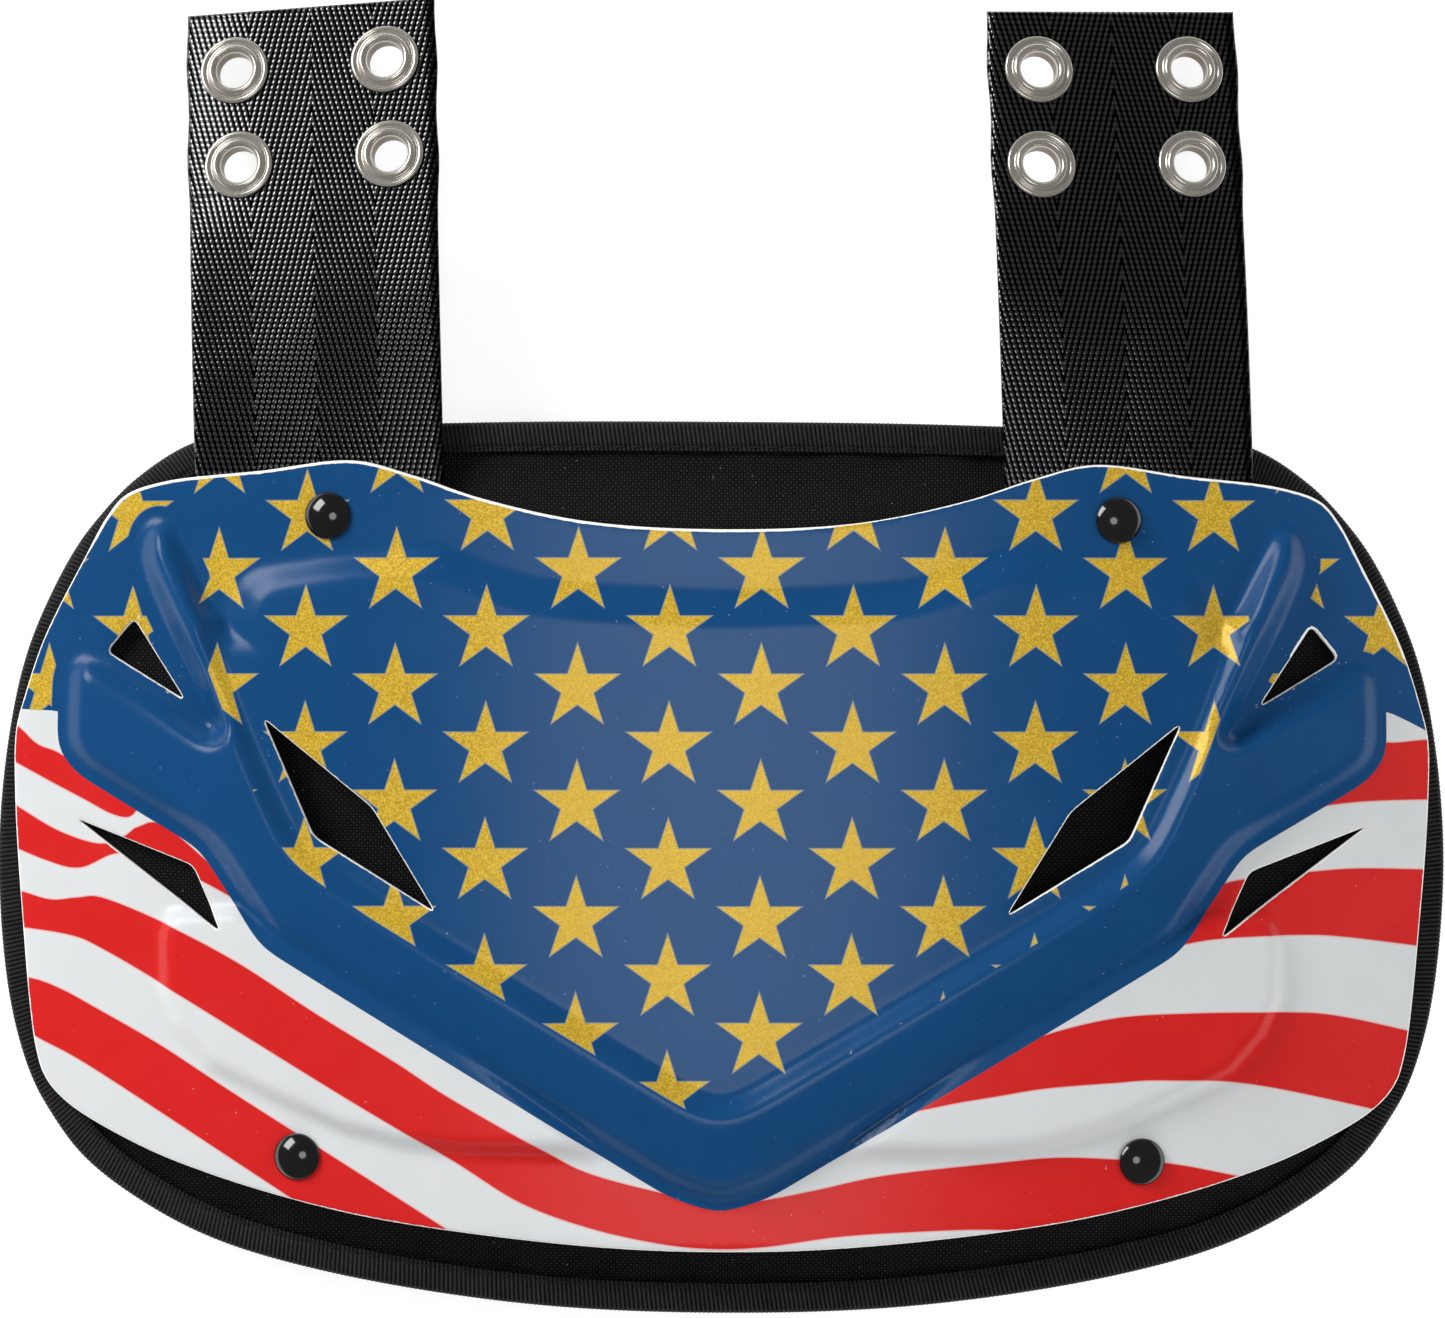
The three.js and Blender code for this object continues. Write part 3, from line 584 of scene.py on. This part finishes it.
def platePaint():
    paint = Paint("printedPlastic")
    across, up, edge = paint.attribute("film")
    red, blue, plain = paint.attribute("print")
    middleX, middleY = plate["starMiddle"]
    stepX, stepY = plate["starAcross"], plate["starRow"]
    row = up - middleY - across * plate["starTilt"]
    a = starDepth((across - middleX).wrap(stepX), row.wrap(2 * stepY))
    b = starDepth((across - middleX - stepX / 2).wrap(stepX), (row - stepY).wrap(2 * stepY))
    star = a.high(b).low(-plain).low(blue)
    inStar = star.past(0.0, 0.08)

    cells = paint.node("ShaderNodeTexVoronoi", None, {"Vector": paint.place(), "Scale": plate["glitter"]})
    shades = paint.node("ShaderNodeSeparateColor", None, {0: cells.outputs["Color"]})
    grain = Value(paint, shades.outputs[0])
    patch = paint.noise(90.0, 3.0)
    speck = paint.noise(5200.0, 1.0)
    gold = paint.mix(grain, (0.43, 0.26, 0.016), (0.66, 0.44, 0.042))
    gold = paint.mix(speck.past(0.66, 0.1) * 0.5, gold, (0.85, 0.70, 0.24))
    white = paint.mix(patch, (0.57, 0.59, 0.60), (0.62, 0.64, 0.645))
    redInk = paint.mix(patch, (0.53, 0.013, 0.012), (0.58, 0.018, 0.017))
    blueInk = paint.mix(patch, (0.004, 0.049, 0.150), (0.006, 0.058, 0.174))
    colour = paint.mix(red.past(0.0), white, redInk)
    rim = (1 - red.abs().past(0.28, 0.2)) * 0.75
    colour = paint.mix(rim, colour, (0.66, 0.62, 0.62))
    colour = paint.mix(blue.past(0.0), colour, blueInk)
    colour = paint.mix(star.past(-0.2, 0.08) * 0.45, colour, (0.50, 0.46, 0.28))
    colour = paint.mix(inStar, colour, gold)

    chips = paint.noise(700.0, 4.0, 0.65)
    bare = 1 - (edge + (chips - 0.5) * 0.4).past(0.2, 0.1)
    nearFork = 1 - (paint.number("wear") / 5.0).high(0.0).low(1.0)
    scuffs = paint.noise(520.0, 5.0, 0.7) + nearFork * 0.16
    scuffed = scuffs.past(0.79, 0.05) * nearFork
    dust = paint.noise(1500.0, 1.0).past(0.80, 0.03) * 0.35
    colour = paint.mix(bare, colour, (0.86, 0.85, 0.82))
    colour = paint.mix(scuffed * 0.8, colour, (0.70, 0.64, 0.56))
    colour = paint.mix(dust, colour, (0.55, 0.60, 0.66))
    rough = 0.24 + (patch - 0.5) * 0.08 + bare * 0.2 + scuffed * 0.25 + inStar * (grain - 0.5) * 0.3
    height = paint.noise(900.0, 2.0) * 0.02 + grain * inStar * 0.02 + scuffed * -0.05
    return paint.surface(
        Base_Color=colour, Roughness=rough, IOR=1.45, Specular_IOR_Level=0.33, Metallic=inStar * 0.12,
        Normal=paint.bump(height, 0.001, 0.6))


makePlate(platePaint())

# Pad

pad = {
    "half": 147.5,
    "height": 179.8,
    "tapeWall": 0.9,
    "lip": 6.0,
    "taper": 20.0,
    "cell": 2.2,
    "pucker": 0.35,
    "weave": 0.58,           # one thread of the cover
    "rimPoints": 420,
    "fill": 0.8,
}
padRim = [
    (0, 1), (.325, .998), (.61, .989), (.725, .976), (.807, .936), (.862, .891), (.902, .846),
    (.955, .755), (.983, .664), (1, .511), (.984, .345), (.953, .255), (.923, .211), (.879, .166),
    (.807, .122), (.701, .078), (.542, .042), (.271, .009), (0, 0),
]
straps = {
    "width": 50.8,
    "thickness": 1.6,
    "reach": 93.1,
    "tail": 34.3,
    "offset": 81.68,
    "landing": 7.0,          # straight stretch before the eyelets
    "left": {"side": -1, "lean": 1.9, "turn": 3.8},
    "right": {"side": 1, "lean": 2.1, "turn": 1.2},
    "eyeletBlock": (30.9, 19.6),
    "eyeletInset": 22.0,
    "eyeletFlange": 7.0,
    "eyeletHole": 4.5,
    "cell": 1.5,
    "ribPitch": 1.19,        # across, from one twill line to the next
    "dotPitch": 1.09,        # along, from one float to the next
    "ribLean": 0.27,
    "selvedge": 1.7,         # plain edge on the right of each strap
    "rollStart": 8.0,        # the shading rolls the webbing gently to the left of here, past half its reach
    "rollDepth": 0.0021,
}
shoulderY = plate["foot"] + plate["height"] - arch["middleY"]
strapEndY = shoulderY + straps["reach"]


def strapMiddle(row, y):
    return row["side"] * straps["offset"] - (y - shoulderY) * math.tan(math.radians(row["lean"]))


# the plane of a strap's end: its level where the rim holds it, its fall outwards and its fall
# forwards, which brings the outer corner down to the surface; and how long the bend to it is
def endPlane(row):
    share = straps["offset"] / arch["plateHalf"]
    held = float(rimUnder(straps["offset"])) - arch["seat"] - straps["thickness"]
    crown = arch["sag"] + arch["padThickness"] - arch["tapeHeight"]
    cross = crown * arch["power"] / arch["plateHalf"] * share ** (arch["power"] - 1)
    outer = row["side"] * strapMiddle(row, strapEndY) + straps["width"] / 2 - straps["offset"]
    swing = straps["eyeletBlock"][0] / 2 * math.sin(math.radians(row["turn"]))
    block = (straps["reach"] - straps["eyeletInset"] - straps["eyeletBlock"][1] / 2
             - straps["eyeletFlange"] - swing - arch["seat"])
    bend = block - straps["landing"]
    fall = (held - cross * outer - arch["seat"]) / (straps["reach"] - bend / 2)
    return held, cross, bend, fall


# under the plate's rim, then bending down evenly, fall * y^2 / (2 bend), to the straight end
def strapUnder(row, x, y):
    held, cross, bend, fall = endPlane(row)
    along = np.maximum(0, y - shoulderY)
    share = smoothStep(along / bend)
    rim = rimUnder(x) - arch["seat"] - straps["thickness"]
    level = held - cross * (row["side"] * x - straps["offset"])
    bent = np.where(along < bend, along**2 / (2 * bend), along - bend / 2)
    return rim + (level - rim) * share - fall * bent


padKnots = mirrorRing(padRim, pad["half"], -arch["middleY"], pad["height"])


def padPaint():
    paint = Paint("padCover")
    split = paint.node("ShaderNodeSeparateXYZ", None, {0: paint.place()})
    x, y = Value(paint, split.outputs[0]), Value(paint, split.outputs[1])
    wander = (paint.noise(60.0, 2.0) - 0.5) * 0.0012
    k = math.pi / (pad["weave"] * mm)
    u, v = (x + wander) * k, (y + wander) * k
    # plain weave: warp floats where the two waves agree, weft floats where they differ
    warp = u.sin() * v.sin()
    over = warp.past(0.0, 0.5)
    crown = warp.abs()
    fibre = paint.noise(4200.0, 2.0)
    height = crown * 0.7 + over * 0.3 + fibre * 0.12
    # painted light: the thread crowns lighter and the gaps between the threads darker, as if lit and
    # shaded, with random fibre tone on top
    crownLightAndTone = (crown * (0.35 + over * 0.65) + (fibre - 0.5) * 0.3).high(0.0).low(1.0)
    lint = paint.noise(1300.0, 1.0).past(0.80, 0.02)
    colour = paint.mix(crownLightAndTone, (0.0006, 0.0006, 0.0007), (0.026, 0.025, 0.0255))
    colour = paint.mix(lint * 0.5, colour, (0.30, 0.30, 0.30))
    return paint.surface(Base_Color=colour, Roughness=0.72 - crownLightAndTone * 0.2, Specular_IOR_Level=0.12,
                         Normal=paint.bump(height, 0.00035, 0.9))


# The pad over its back: the bound edge, then rising within the taper to full thickness, held down
# by the plate and the straps, with small puckers beside the tape.
def makePad(material):
    edgeInset = pad["tapeWall"] + arch["seat"]
    outline = insetRing(smoothRing(padKnots, pad["rimPoints"])[::-1], edgeInset)
    holes = [circle(x, y, arch["rivetHole"], 16) for x, y in rivetPlaces.values()]
    points, triangles, _ = planNet(outline, holes, pad["cell"], (1.2, 2.6))
    x, y = points.T
    depth = np.maximum(depthInside(x, y, outline), 0)
    back = backLevel(x)
    inLip = depth < pad["lip"] - edgeInset + 0.4
    rise = smoothStep((depth - pad["lip"] + edgeInset) / pad["taper"]) ** 0.7
    lipFront = arch["tapeHeight"] - edgeInset
    front = back + lipFront + (arch["padThickness"] - lipFront) * rise
    pucker = pad["pucker"] * slowWaves(x, y, 14, 3) * np.exp(-np.maximum(depth - 7, 0) / 6) * ~inLip
    front = np.minimum(front + pucker, rimUnder(x) - arch["seat"] - 0.05)
    for row in (straps["left"], straps["right"]):
        aside = np.abs(x - strapMiddle(row, y)) - straps["width"] / 2 - 0.6
        below = shoulderY - straps["tail"] - 0.6 - y
        away = np.hypot(np.maximum(aside, 0), np.maximum(below, 0))
        limit = strapUnder(row, x, y) - arch["seat"] - 0.1 + np.maximum(away - 0.6, 0) * 1.5
        front = np.minimum(front, limit)
    lower = back + np.where(inLip, edgeInset, arch["seat"] + 0.9 * (1 - smoothStep((depth - 6) / 6)))
    lower = np.minimum(lower, front - 1.0)
    allPoints, faces = closedSheet(points, triangles, front, lower)
    piece = addMesh("fabricPad", allPoints, faces, material)
    print("pad", len(points), "points a side")
    finishPiece(piece, "pad_fabric", "foam_pad")


makePad(padPaint())

# Binding tape and its stitches

tape = {
    "ribPitch": 0.9,
    "ribHeight": 0.11,
    "ribLean": 0.14,         # how far a rib leans for each millimetre across
    "pickPitch": 0.42,       # fine cross threads on a rib
    "foldRadius": 1.5,
    "stitchInset": 5.25,
    "stitchPitch": 4.1,
    "stitchLength": 3.1,
    "stitchWidth": 0.42,
}


def tapePaint():
    paint = Paint("grosgrainTape")
    across, ridge = paint.attribute("tape")[:2]
    fibre = paint.noise(5200.0, 2.0)
    worn = paint.noise(240.0, 3.0)
    picks = ((across * (2 * math.pi / tape["pickPitch"])).cos() * 0.5 + 0.5) * ridge
    # painted light: the rib crowns lighter and the hollows between them darker, as if lit and shaded,
    # with random fibre tone and wear on top
    crownLightAndTone = (ridge * 1.05 - 0.2 + (fibre - 0.5) * 0.5 + (worn - 0.5) * 0.4).high(0.0).low(1.0)
    colour = paint.mix(crownLightAndTone, (0.0004, 0.0004, 0.0004), (0.030, 0.028, 0.028))
    colour = paint.mix(fibre.past(0.72, 0.05) * 0.35, colour, (0.16, 0.15, 0.15))
    return paint.surface(Base_Color=colour, Roughness=0.66 - crownLightAndTone * 0.12, Specular_IOR_Level=0.2,
                         Normal=paint.bump(fibre * 0.4 + picks * 0.5, 0.00012, 0.8))


# The tape's folded section (inset from the edge, height above the back), carried round the pad's
# rim; its outer face carries ribs, height * cos(turns of the leaning rib), and a sewn groove.
def makeTape(material):
    perimeter = ringLength(smoothRing(padKnots, 2000))
    ribs = int(round(perimeter / tape["ribPitch"]))
    count = ribs * 4
    rim = smoothRing(padKnots, count)[::-1]
    h, w, lip = arch["tapeHeight"], pad["tapeWall"], pad["lip"]
    corner = tape["foldRadius"]
    bend = np.linspace(0, math.pi / 2, 4)
    section = [(lip + 0.35, h - 0.35), (lip, h), (5.75, h), (5.45, h), (5.2, h - 0.28), (4.95, h),
               (4.0, h), (2.8, h)]
    section += [(corner - corner * math.sin(t), h - corner + corner * math.cos(t)) for t in bend]
    section += [(corner - corner * math.cos(t), corner - corner * math.sin(t)) for t in bend]
    outer = len(section)
    section += [(3.5, 0), (lip, 0), (lip, w), (w + 0.5, w), (w, w + 0.5), (w, h - w - 0.5),
                (w + 0.5, h - w), (lip, h - w)]
    section = np.array(section)
    way = np.gradient(section[:outer + 1], axis=0)[:outer]
    way /= np.hypot(*way.T)[:, None]
    normal = np.zeros((len(section), 2))
    normal[:outer] = np.c_[way[:, 1], -way[:, 0]]
    centre = np.array([3.0, h / 2])
    flip = np.sum(normal[:outer] * (section[:outer] - centre), 1) < 0
    normal[:outer][flip] *= -1
    station = np.arange(count) * (perimeter / count)
    turns = station[:, None] * ribs / perimeter
    lean = section[None, :, 0] * tape["ribLean"] / tape["ribPitch"]
    ridge = 0.5 + 0.5 * np.cos(2 * np.pi * (turns + lean))
    weight = np.zeros(len(section))
    weight[1:outer - 1] = 1
    lift = (ridge - 0.8) * tape["ribHeight"] * weight
    inset = section[:, 0] + lift * normal[:, 0]
    height = section[:, 1] + lift * normal[:, 1]
    along = np.roll(rim, -1, 0) - np.roll(rim, 1, 0)
    along /= np.hypot(*along.T)[:, None]
    inward = np.c_[-along[:, 1], along[:, 0]]
    plan = rim[:, None, :] + inward[:, None, :] * inset[:, :, None]
    z = backLevel(plan[:, :, 0]) + np.maximum(height, 0)
    rows = len(section)
    k = np.arange(count)[:, None]
    r = np.arange(rows)[None]
    here, there = k * rows, ((k + 1) % count) * rows
    after = (r + 1) % rows
    quads = np.stack([here + r, here + after, there + after, there + r], -1).reshape(-1, 4)
    piece = addMesh("edgeTape", np.dstack([plan, z]).reshape(-1, 3), quads, material)
    across = np.tile(section[:, 0], (count, 1))
    data = np.dstack([across, ridge * weight, np.zeros_like(ridge)])
    addAttribute(piece, "tape", data.reshape(-1, 3))
    print("tape", count, "stations")
    finishPiece(piece, "binding_tape", "edge_binding")


makeTape(tapePaint())


def threadPaint():
    paint = Paint("blackThread")
    fibre = paint.noise(6000.0, 2.0)
    colour = paint.mix(fibre, (0.003, 0.003, 0.003), (0.022, 0.021, 0.022))
    return paint.surface(Base_Color=colour, Roughness=0.6, Specular_IOR_Level=0.25,
                         Normal=paint.bump(fibre, 0.0001, 0.5))


# Stitches: a short bowed thread, (length * t, width * bell(t)), set round the rim at even steps.
def makeStitches(material):
    perimeter = ringLength(smoothRing(padKnots, 2000))
    count = int(round(perimeter / tape["stitchPitch"]))
    fine = insetRing(smoothRing(padKnots, 2400)[::-1], tape["stitchInset"])
    total = ringLength(fine)
    stops, sides = 6, 6
    t = np.linspace(0, 1, stops)
    turn = np.linspace(0, 2 * np.pi, sides, endpoint=False)
    closed = np.vstack([fine, fine[:1]])
    length = np.r_[0, np.cumsum(np.hypot(*np.diff(closed, axis=0).T))]
    at = (np.arange(count)[:, None] * (total / count) + tape["stitchLength"] * t[None]) % total
    x = np.interp(at, length, closed[:, 0])
    y = np.interp(at, length, closed[:, 1])
    dx, dy = np.gradient(x, axis=1), np.gradient(y, axis=1)
    size = np.hypot(dx, dy)
    sideX, sideY = -dy / size, dx / size
    girth = 0.5 * tape["stitchWidth"] * np.maximum(1 - np.abs(2 * t - 1) ** 3, 0.12)
    bow = 0.12 * np.sin(np.pi * t) - 0.05
    aside = girth[None, :, None] * np.cos(turn)
    rise = girth[None, :, None] * np.sin(turn) + bow[None, :, None]
    px = x[:, :, None] + sideX[:, :, None] * aside
    py = y[:, :, None] + sideY[:, :, None] * aside
    pz = backLevel(x)[:, :, None] + arch["tapeHeight"] - 0.03 + rise
    points = np.stack([px, py, pz], -1).reshape(-1, 3)
    stitch, stop, q = np.meshgrid(np.arange(count), np.arange(stops - 1), np.arange(sides), indexing="ij")
    base = (stitch * stops + stop) * sides
    after = (q + 1) % sides
    quads = np.stack([base + q, base + sides + q, base + sides + after, base + after], -1).reshape(-1, 4)
    piece = addMesh("tapeStitches", points, quads, material)
    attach(piece, "root")
    print("stitches", count)


makeStitches(threadPaint())

# Straps

# Herringbone in four columns: twill lines that lean to and fro, cos of the distance across a line,
# broken into floats by cos of the distance along it.
def webbingPaint():
    paint = Paint("coatedWebbing")
    across, along = paint.attribute("web")[:2]
    column = straps["width"] / 4
    folded = across.wrap(2 * column).abs()
    wander = (paint.noise(45.0, 2.0) - 0.5) * 0.8
    line = (folded + along * straps["ribLean"] + wander) / straps["ribPitch"]
    dot = (along + wander) / straps["dotPitch"]
    ridge = (line * (2 * math.pi)).cos() * 0.5 + 0.5
    crown = ridge * (0.28 + ((dot * (2 * math.pi)).cos() * 0.5 + 0.5) * 0.72)
    fibre = paint.noise(6500.0, 2.0)
    swell = paint.noise(28.0, 2.0)
    height = crown + fibre * 0.06
    roll = ((across * -1 - straps["rollStart"]) / (straps["width"] / 2 - straps["rollStart"])).high(0.0)
    roll = roll * roll * along.past(50.0, 8.0)
    slow = paint.bump(swell * 0.4 - roll, straps["rollDepth"])
    normal = paint.bump(height, 0.000075, 1.0, slow)
    plain = across.past(straps["width"] / 2 - straps["selvedge"], 0.3)
    floats = crown.past(0.3, 0.22) * (1 - plain * 0.75)
    colour = paint.mix(crown, (0.0006, 0.0006, 0.0006), (0.003, 0.003, 0.0034))
    # painted highlight and shade: the colour is a little lighter on the floats, and between them a black
    # metal throws nothing back, so the gaps stay dark and only the floats shine
    return paint.surface(Base_Color=colour, Roughness=0.14 + (1 - crown) * 0.12, Metallic=1 - floats,
                         Specular_IOR_Level=1.0, IOR=1.8, Normal=normal)


def eyeletPlaces(row):
    turn = math.radians(row["turn"])
    middleY = strapEndY - straps["eyeletInset"]
    middleX = strapMiddle(row, middleY)
    across, along = straps["eyeletBlock"]
    return [
        (middleX + u * across * math.cos(turn) - v * along * math.sin(turn),
         middleY + u * across * math.sin(turn) + v * along * math.cos(turn))
        for v in (0.5, -0.5) for u in (-0.5, 0.5)
    ]


# The strap's plan in its own lengths (offset, y), then leaned, cut at its end and lifted.
def makeStrap(name, row, material):
    half = straps["width"] / 2
    start = shoulderY - straps["tail"]
    ys = np.linspace(start, strapEndY, 90)
    block = strapEndY - straps["eyeletInset"]
    bulge = 0.45 * (np.exp(-((ys - block - 9.8) / 6) ** 2) + np.exp(-((ys - block + 9.8) / 6) ** 2))
    cut = math.tan(math.radians(row["turn"]))
    right = np.c_[strapMiddle(row, ys) + half + bulge, ys]
    left = np.c_[strapMiddle(row, ys) - half - bulge, ys]
    right[-1, 1] += half * cut
    left[-1, 1] -= half * cut
    outline = evenRing(np.vstack([right, left[::-1]]), 300)
    corners = np.vstack([right[[0, -1]], left[[0, -1]]])
    for corner in corners:
        outline[np.argmin(np.hypot(*(outline - corner).T))] = corner
    holes = [circle(x, y, straps["eyeletHole"], 32) for x, y in eyeletPlaces(row)]
    holes += [circle(x, y, arch["rivetHole"], 16)
              for x, y in rivetPlaces.values() if x * row["side"] > 0 and y > 0]
    points, triangles, _ = planNet(outline, holes, straps["cell"], (0.25, 0.7))
    x, y = points.T
    rimDepth = depthInside(x, y, outline)
    r = straps["thickness"] / 2
    ease = r - np.sqrt(np.maximum(r * r - np.maximum(r - np.maximum(rimDepth, 0), 0) ** 2, 0))
    level = strapUnder(row, x, y)
    top, bottom = level + straps["thickness"] - 0.8 * ease, level + 0.8 * ease
    allPoints, faces = closedSheet(points, triangles, top, bottom)
    piece = addMesh("webbingStrap" + name, allPoints, faces, material)
    web = np.c_[x - strapMiddle(row, y), y - shoulderY, np.zeros(len(x))]
    addAttribute(piece, "web", np.tile(web, (2, 1)))
    finishPiece(piece, "webbing", "strap_" + name.lower())


webbing = webbingPaint()
makeStrap("Left", straps["left"], webbing)
makeStrap("Right", straps["right"], webbing)
print("straps made")

# Eyelets and rivets

eyelet = {
    "hole": 3.7,
    "barrel": 4.2,
    "flange": 7.0,
    "back": 6.6,
    "backWall": 0.9,
    "turns": 96,
    # the front ring from its rim over the skirt and the rolled collar into the hole: radius, height
    "roll": [(7.0, 0.05), (7.0, 0.3), (6.75, 0.55), (6.35, 0.6), (6.0, 0.45), (5.75, 0.3), (5.5, 0.45),
             (5.3, 0.8), (5.0, 1.1), (4.65, 1.2), (4.3, 1.08), (4.0, 0.75), (3.78, 0.3), (3.7, -0.1)],
}


def nickelPaint():
    paint = Paint("nickelPlate")
    smear = paint.noise(300.0, 2.0)
    spot = paint.noise(2600.0, 2.0)
    bore = paint.number("bore")
    colour = paint.mix(smear, (0.58, 0.54, 0.48), (0.68, 0.645, 0.59))
    # painted shade: darker and browner inside the bore, where the hole is in shade
    colour = paint.mix(bore, colour, (0.14, 0.105, 0.075))
    rough = 0.17 + (smear - 0.5) * 0.08 + spot.past(0.7, 0.1) * 0.08 + bore * 0.2
    return paint.surface(Base_Color=colour, Metallic=0.8 + bore * 0.1, Roughness=rough)


# An eyelet: a flat skirt, a rolled collar and the barrel, turned about its axis, its zero level at
# the strap's outer face, then stood square to the strap's end.
def makeEyelet(name, row, x, y, material, node):
    e = eyelet
    back = -straps["thickness"] - arch["seat"]
    foot = back - e["backWall"]
    top = arch["seat"]
    profile = [(e["hole"], foot + 0.15), (e["hole"] + 0.15, foot), (e["back"] - 0.15, foot),
               (e["back"], foot + 0.15), (e["back"], back - 0.15), (e["back"] - 0.15, back),
               (e["barrel"], back), (e["barrel"], top), (e["flange"] - 0.1, top)]
    profile += [(r, top + h) for r, h in smoothLine(e["roll"])[::3]]
    profile += [(e["hole"], -0.6)]
    points, quads = turnedProfile(profile, e["turns"], True)
    _, cross, _, fall = endPlane(row)
    square = Vector((row["side"] * cross, fall, 1)).normalized()
    swing = np.array(Vector((0, 0, 1)).rotation_difference(square).to_matrix())
    level = float(strapUnder(row, x, y)) + straps["thickness"]
    piece = addMesh(name, points @ swing.T + [x, y, level], quads, material)
    radius = np.hypot(points[:, 0], points[:, 1])
    # the bore, where the painted shade goes
    bore = smoothStep((e["hole"] + 0.5 - radius) / 0.5) * smoothStep((top + 0.4 - points[:, 2]) / 0.8)
    addAttribute(piece, "bore", bore)
    finishPiece(piece, "eyelet_nickel", node)


nickel = nickelPaint()
for sideName in ("left", "right"):
    for k, (x, y) in enumerate(eyeletPlaces(straps[sideName])):
        node = f"eyelet_{sideName}_{k + 1}"
        makeEyelet(f"eyelet{sideName.capitalize()}{k + 1}", straps[sideName], x, y, nickel, node)

rivet = {
    "cap": 4.7,
    "dome": 1.9,
    "shank": 2.3,
    "washer": 6.0,
    "washerWall": 1.0,
    "turns": 56,
}


def rivetPaint():
    paint = Paint("rivetPlastic")
    smear = paint.noise(500.0, 3.0)
    colour = paint.mix(smear, (0.0012, 0.0012, 0.0015), (0.0045, 0.0045, 0.0045))
    return paint.surface(Base_Color=colour, Roughness=0.07 + smear * 0.08, IOR=1.8,
                         Normal=paint.bump(smear, 0.0001, 0.1))


# A rivet: a smooth dome over the rim, the shank and the washer, turned, then tilted with the arch.
def makeRivet(key, material):
    x, y = rivetPlaces[key]
    r = rivet
    seat = float(rimUnder(x)) + plate["wall"]
    tilt = math.atan(-float(rimUnder(x + 1) - rimUnder(x)))
    grip = (seat - float(backLevel(x))) * math.cos(tilt) + arch["seat"]
    low = arch["seat"]
    profile = [(0, -grip - r["washerWall"]), (r["washer"], -grip - r["washerWall"]), (r["washer"], -grip),
               (r["shank"], -grip), (r["shank"], low), (r["cap"] - 0.15, low), (r["cap"], low + 0.15)]
    ball = (r["cap"] ** 2 + r["dome"] ** 2) / (2 * r["dome"])
    spread = np.linspace(math.asin(r["cap"] / ball), 0, 14)
    profile += [(ball * math.sin(t), low + 0.2 + ball * math.cos(t) - ball + r["dome"]) for t in spread]
    points, quads = turnedProfile(profile, r["turns"], False)
    c, s = math.cos(tilt), math.sin(tilt)
    turnedX = points[:, 0] * c + points[:, 2] * s
    turnedZ = -points[:, 0] * s + points[:, 2] * c
    placed = np.c_[turnedX + x, points[:, 1] + y, turnedZ + seat]
    name = "rivet" + "".join(part.capitalize() for part in key.split("_"))
    finishPiece(addMesh(name, placed, quads, material), "rivet_plastic", "rivet_" + key)


blackPlastic = rivetPaint()
for key in rivetPlaces:
    makeRivet(key, blackPlastic)
print("eyelets and rivets made")

# Surface, light and camera

studio = {
    "height": 1.4,           # of the camera over the surface
    "viewWidth": 0.2959,     # what the picture takes in across, at the level of the surface
    "roll": 0.35,
    "centreY": -0.00114,
}


def floorPaint():
    paint = Paint("paleSurface")
    tone = paint.noise(3.0, 2.0)
    colour = paint.mix(tone, (0.40, 0.40, 0.40), (0.42, 0.42, 0.42))
    return paint.surface(Base_Color=colour, Roughness=0.9,
                         Emission_Color=(1, 1, 1, 1), Emission_Strength=0.8)


floorMesh = bpy.data.meshes.new("surface")
floorMesh.from_pydata([(-4, -4, 0), (4, -4, 0), (4, 4, 0), (-4, 4, 0)], [], [(0, 1, 2, 3)])
floorMesh.materials.append(floorPaint())
floor = bpy.data.objects.new("surface", floorMesh)
scene.collection.objects.link(floor)


# each light's shape, size, place, watts, and whether glossy pieces mirror it; the fills brighten
# the side towards them without showing up in those pieces
lamps = {
    "windowPanel": ("RECTANGLE", (0.9, 0.7), (-1.12, 0.865, 0.735), 14, True),
    "overhead": ("ELLIPSE", (0.62, 0.62), (0.0, 0.0, 1.5), 2.4, True),
    "windowFill": ("RECTANGLE", (0.9, 0.7), (-1.12, 0.865, 0.735), 19, False),
    "overheadFill": ("ELLIPSE", (0.62, 0.62), (0.0, 0.0, 1.5), 1.6, False),
    "rightFill": ("RECTANGLE", (0.8, 1.3), (1.3, 0.1, 0.7), 11.5, False),
    "lowerFill": ("RECTANGLE", (1.4, 0.7), (0.1, -1.5, 0.7), 12, False),
}

for name, (shape, size, place, watts, mirrored) in lamps.items():
    light = bpy.data.lights.new(name, "AREA")
    light.shape = shape
    light.size, light.size_y = size
    light.energy = watts
    lamp = bpy.data.objects.new(name, light)
    lamp.location = place
    lamp.rotation_euler = (-Vector(place)).to_track_quat("-Z", "Y").to_euler()
    lamp.visible_glossy = mirrored
    scene.collection.objects.link(lamp)

world = bpy.data.worlds.new("room")
world.use_nodes = True
world.node_tree.nodes["Background"].inputs["Color"].default_value = (1, 1, 1, 1)
world.node_tree.nodes["Background"].inputs["Strength"].default_value = 0.12
scene.world = world
scene.view_settings.view_transform = "Standard"

lens = bpy.data.cameras.new("camera")
lens.sensor_width = 36.0
lens.lens = 36.0 * studio["height"] / studio["viewWidth"]
lens.clip_start = 0.05
camera = bpy.data.objects.new("camera", lens)
camera.location = (0, studio["centreY"], studio["height"])
camera.rotation_euler = (0, 0, math.radians(studio["roll"]))
scene.collection.objects.link(camera)
scene.camera = camera

print("done")
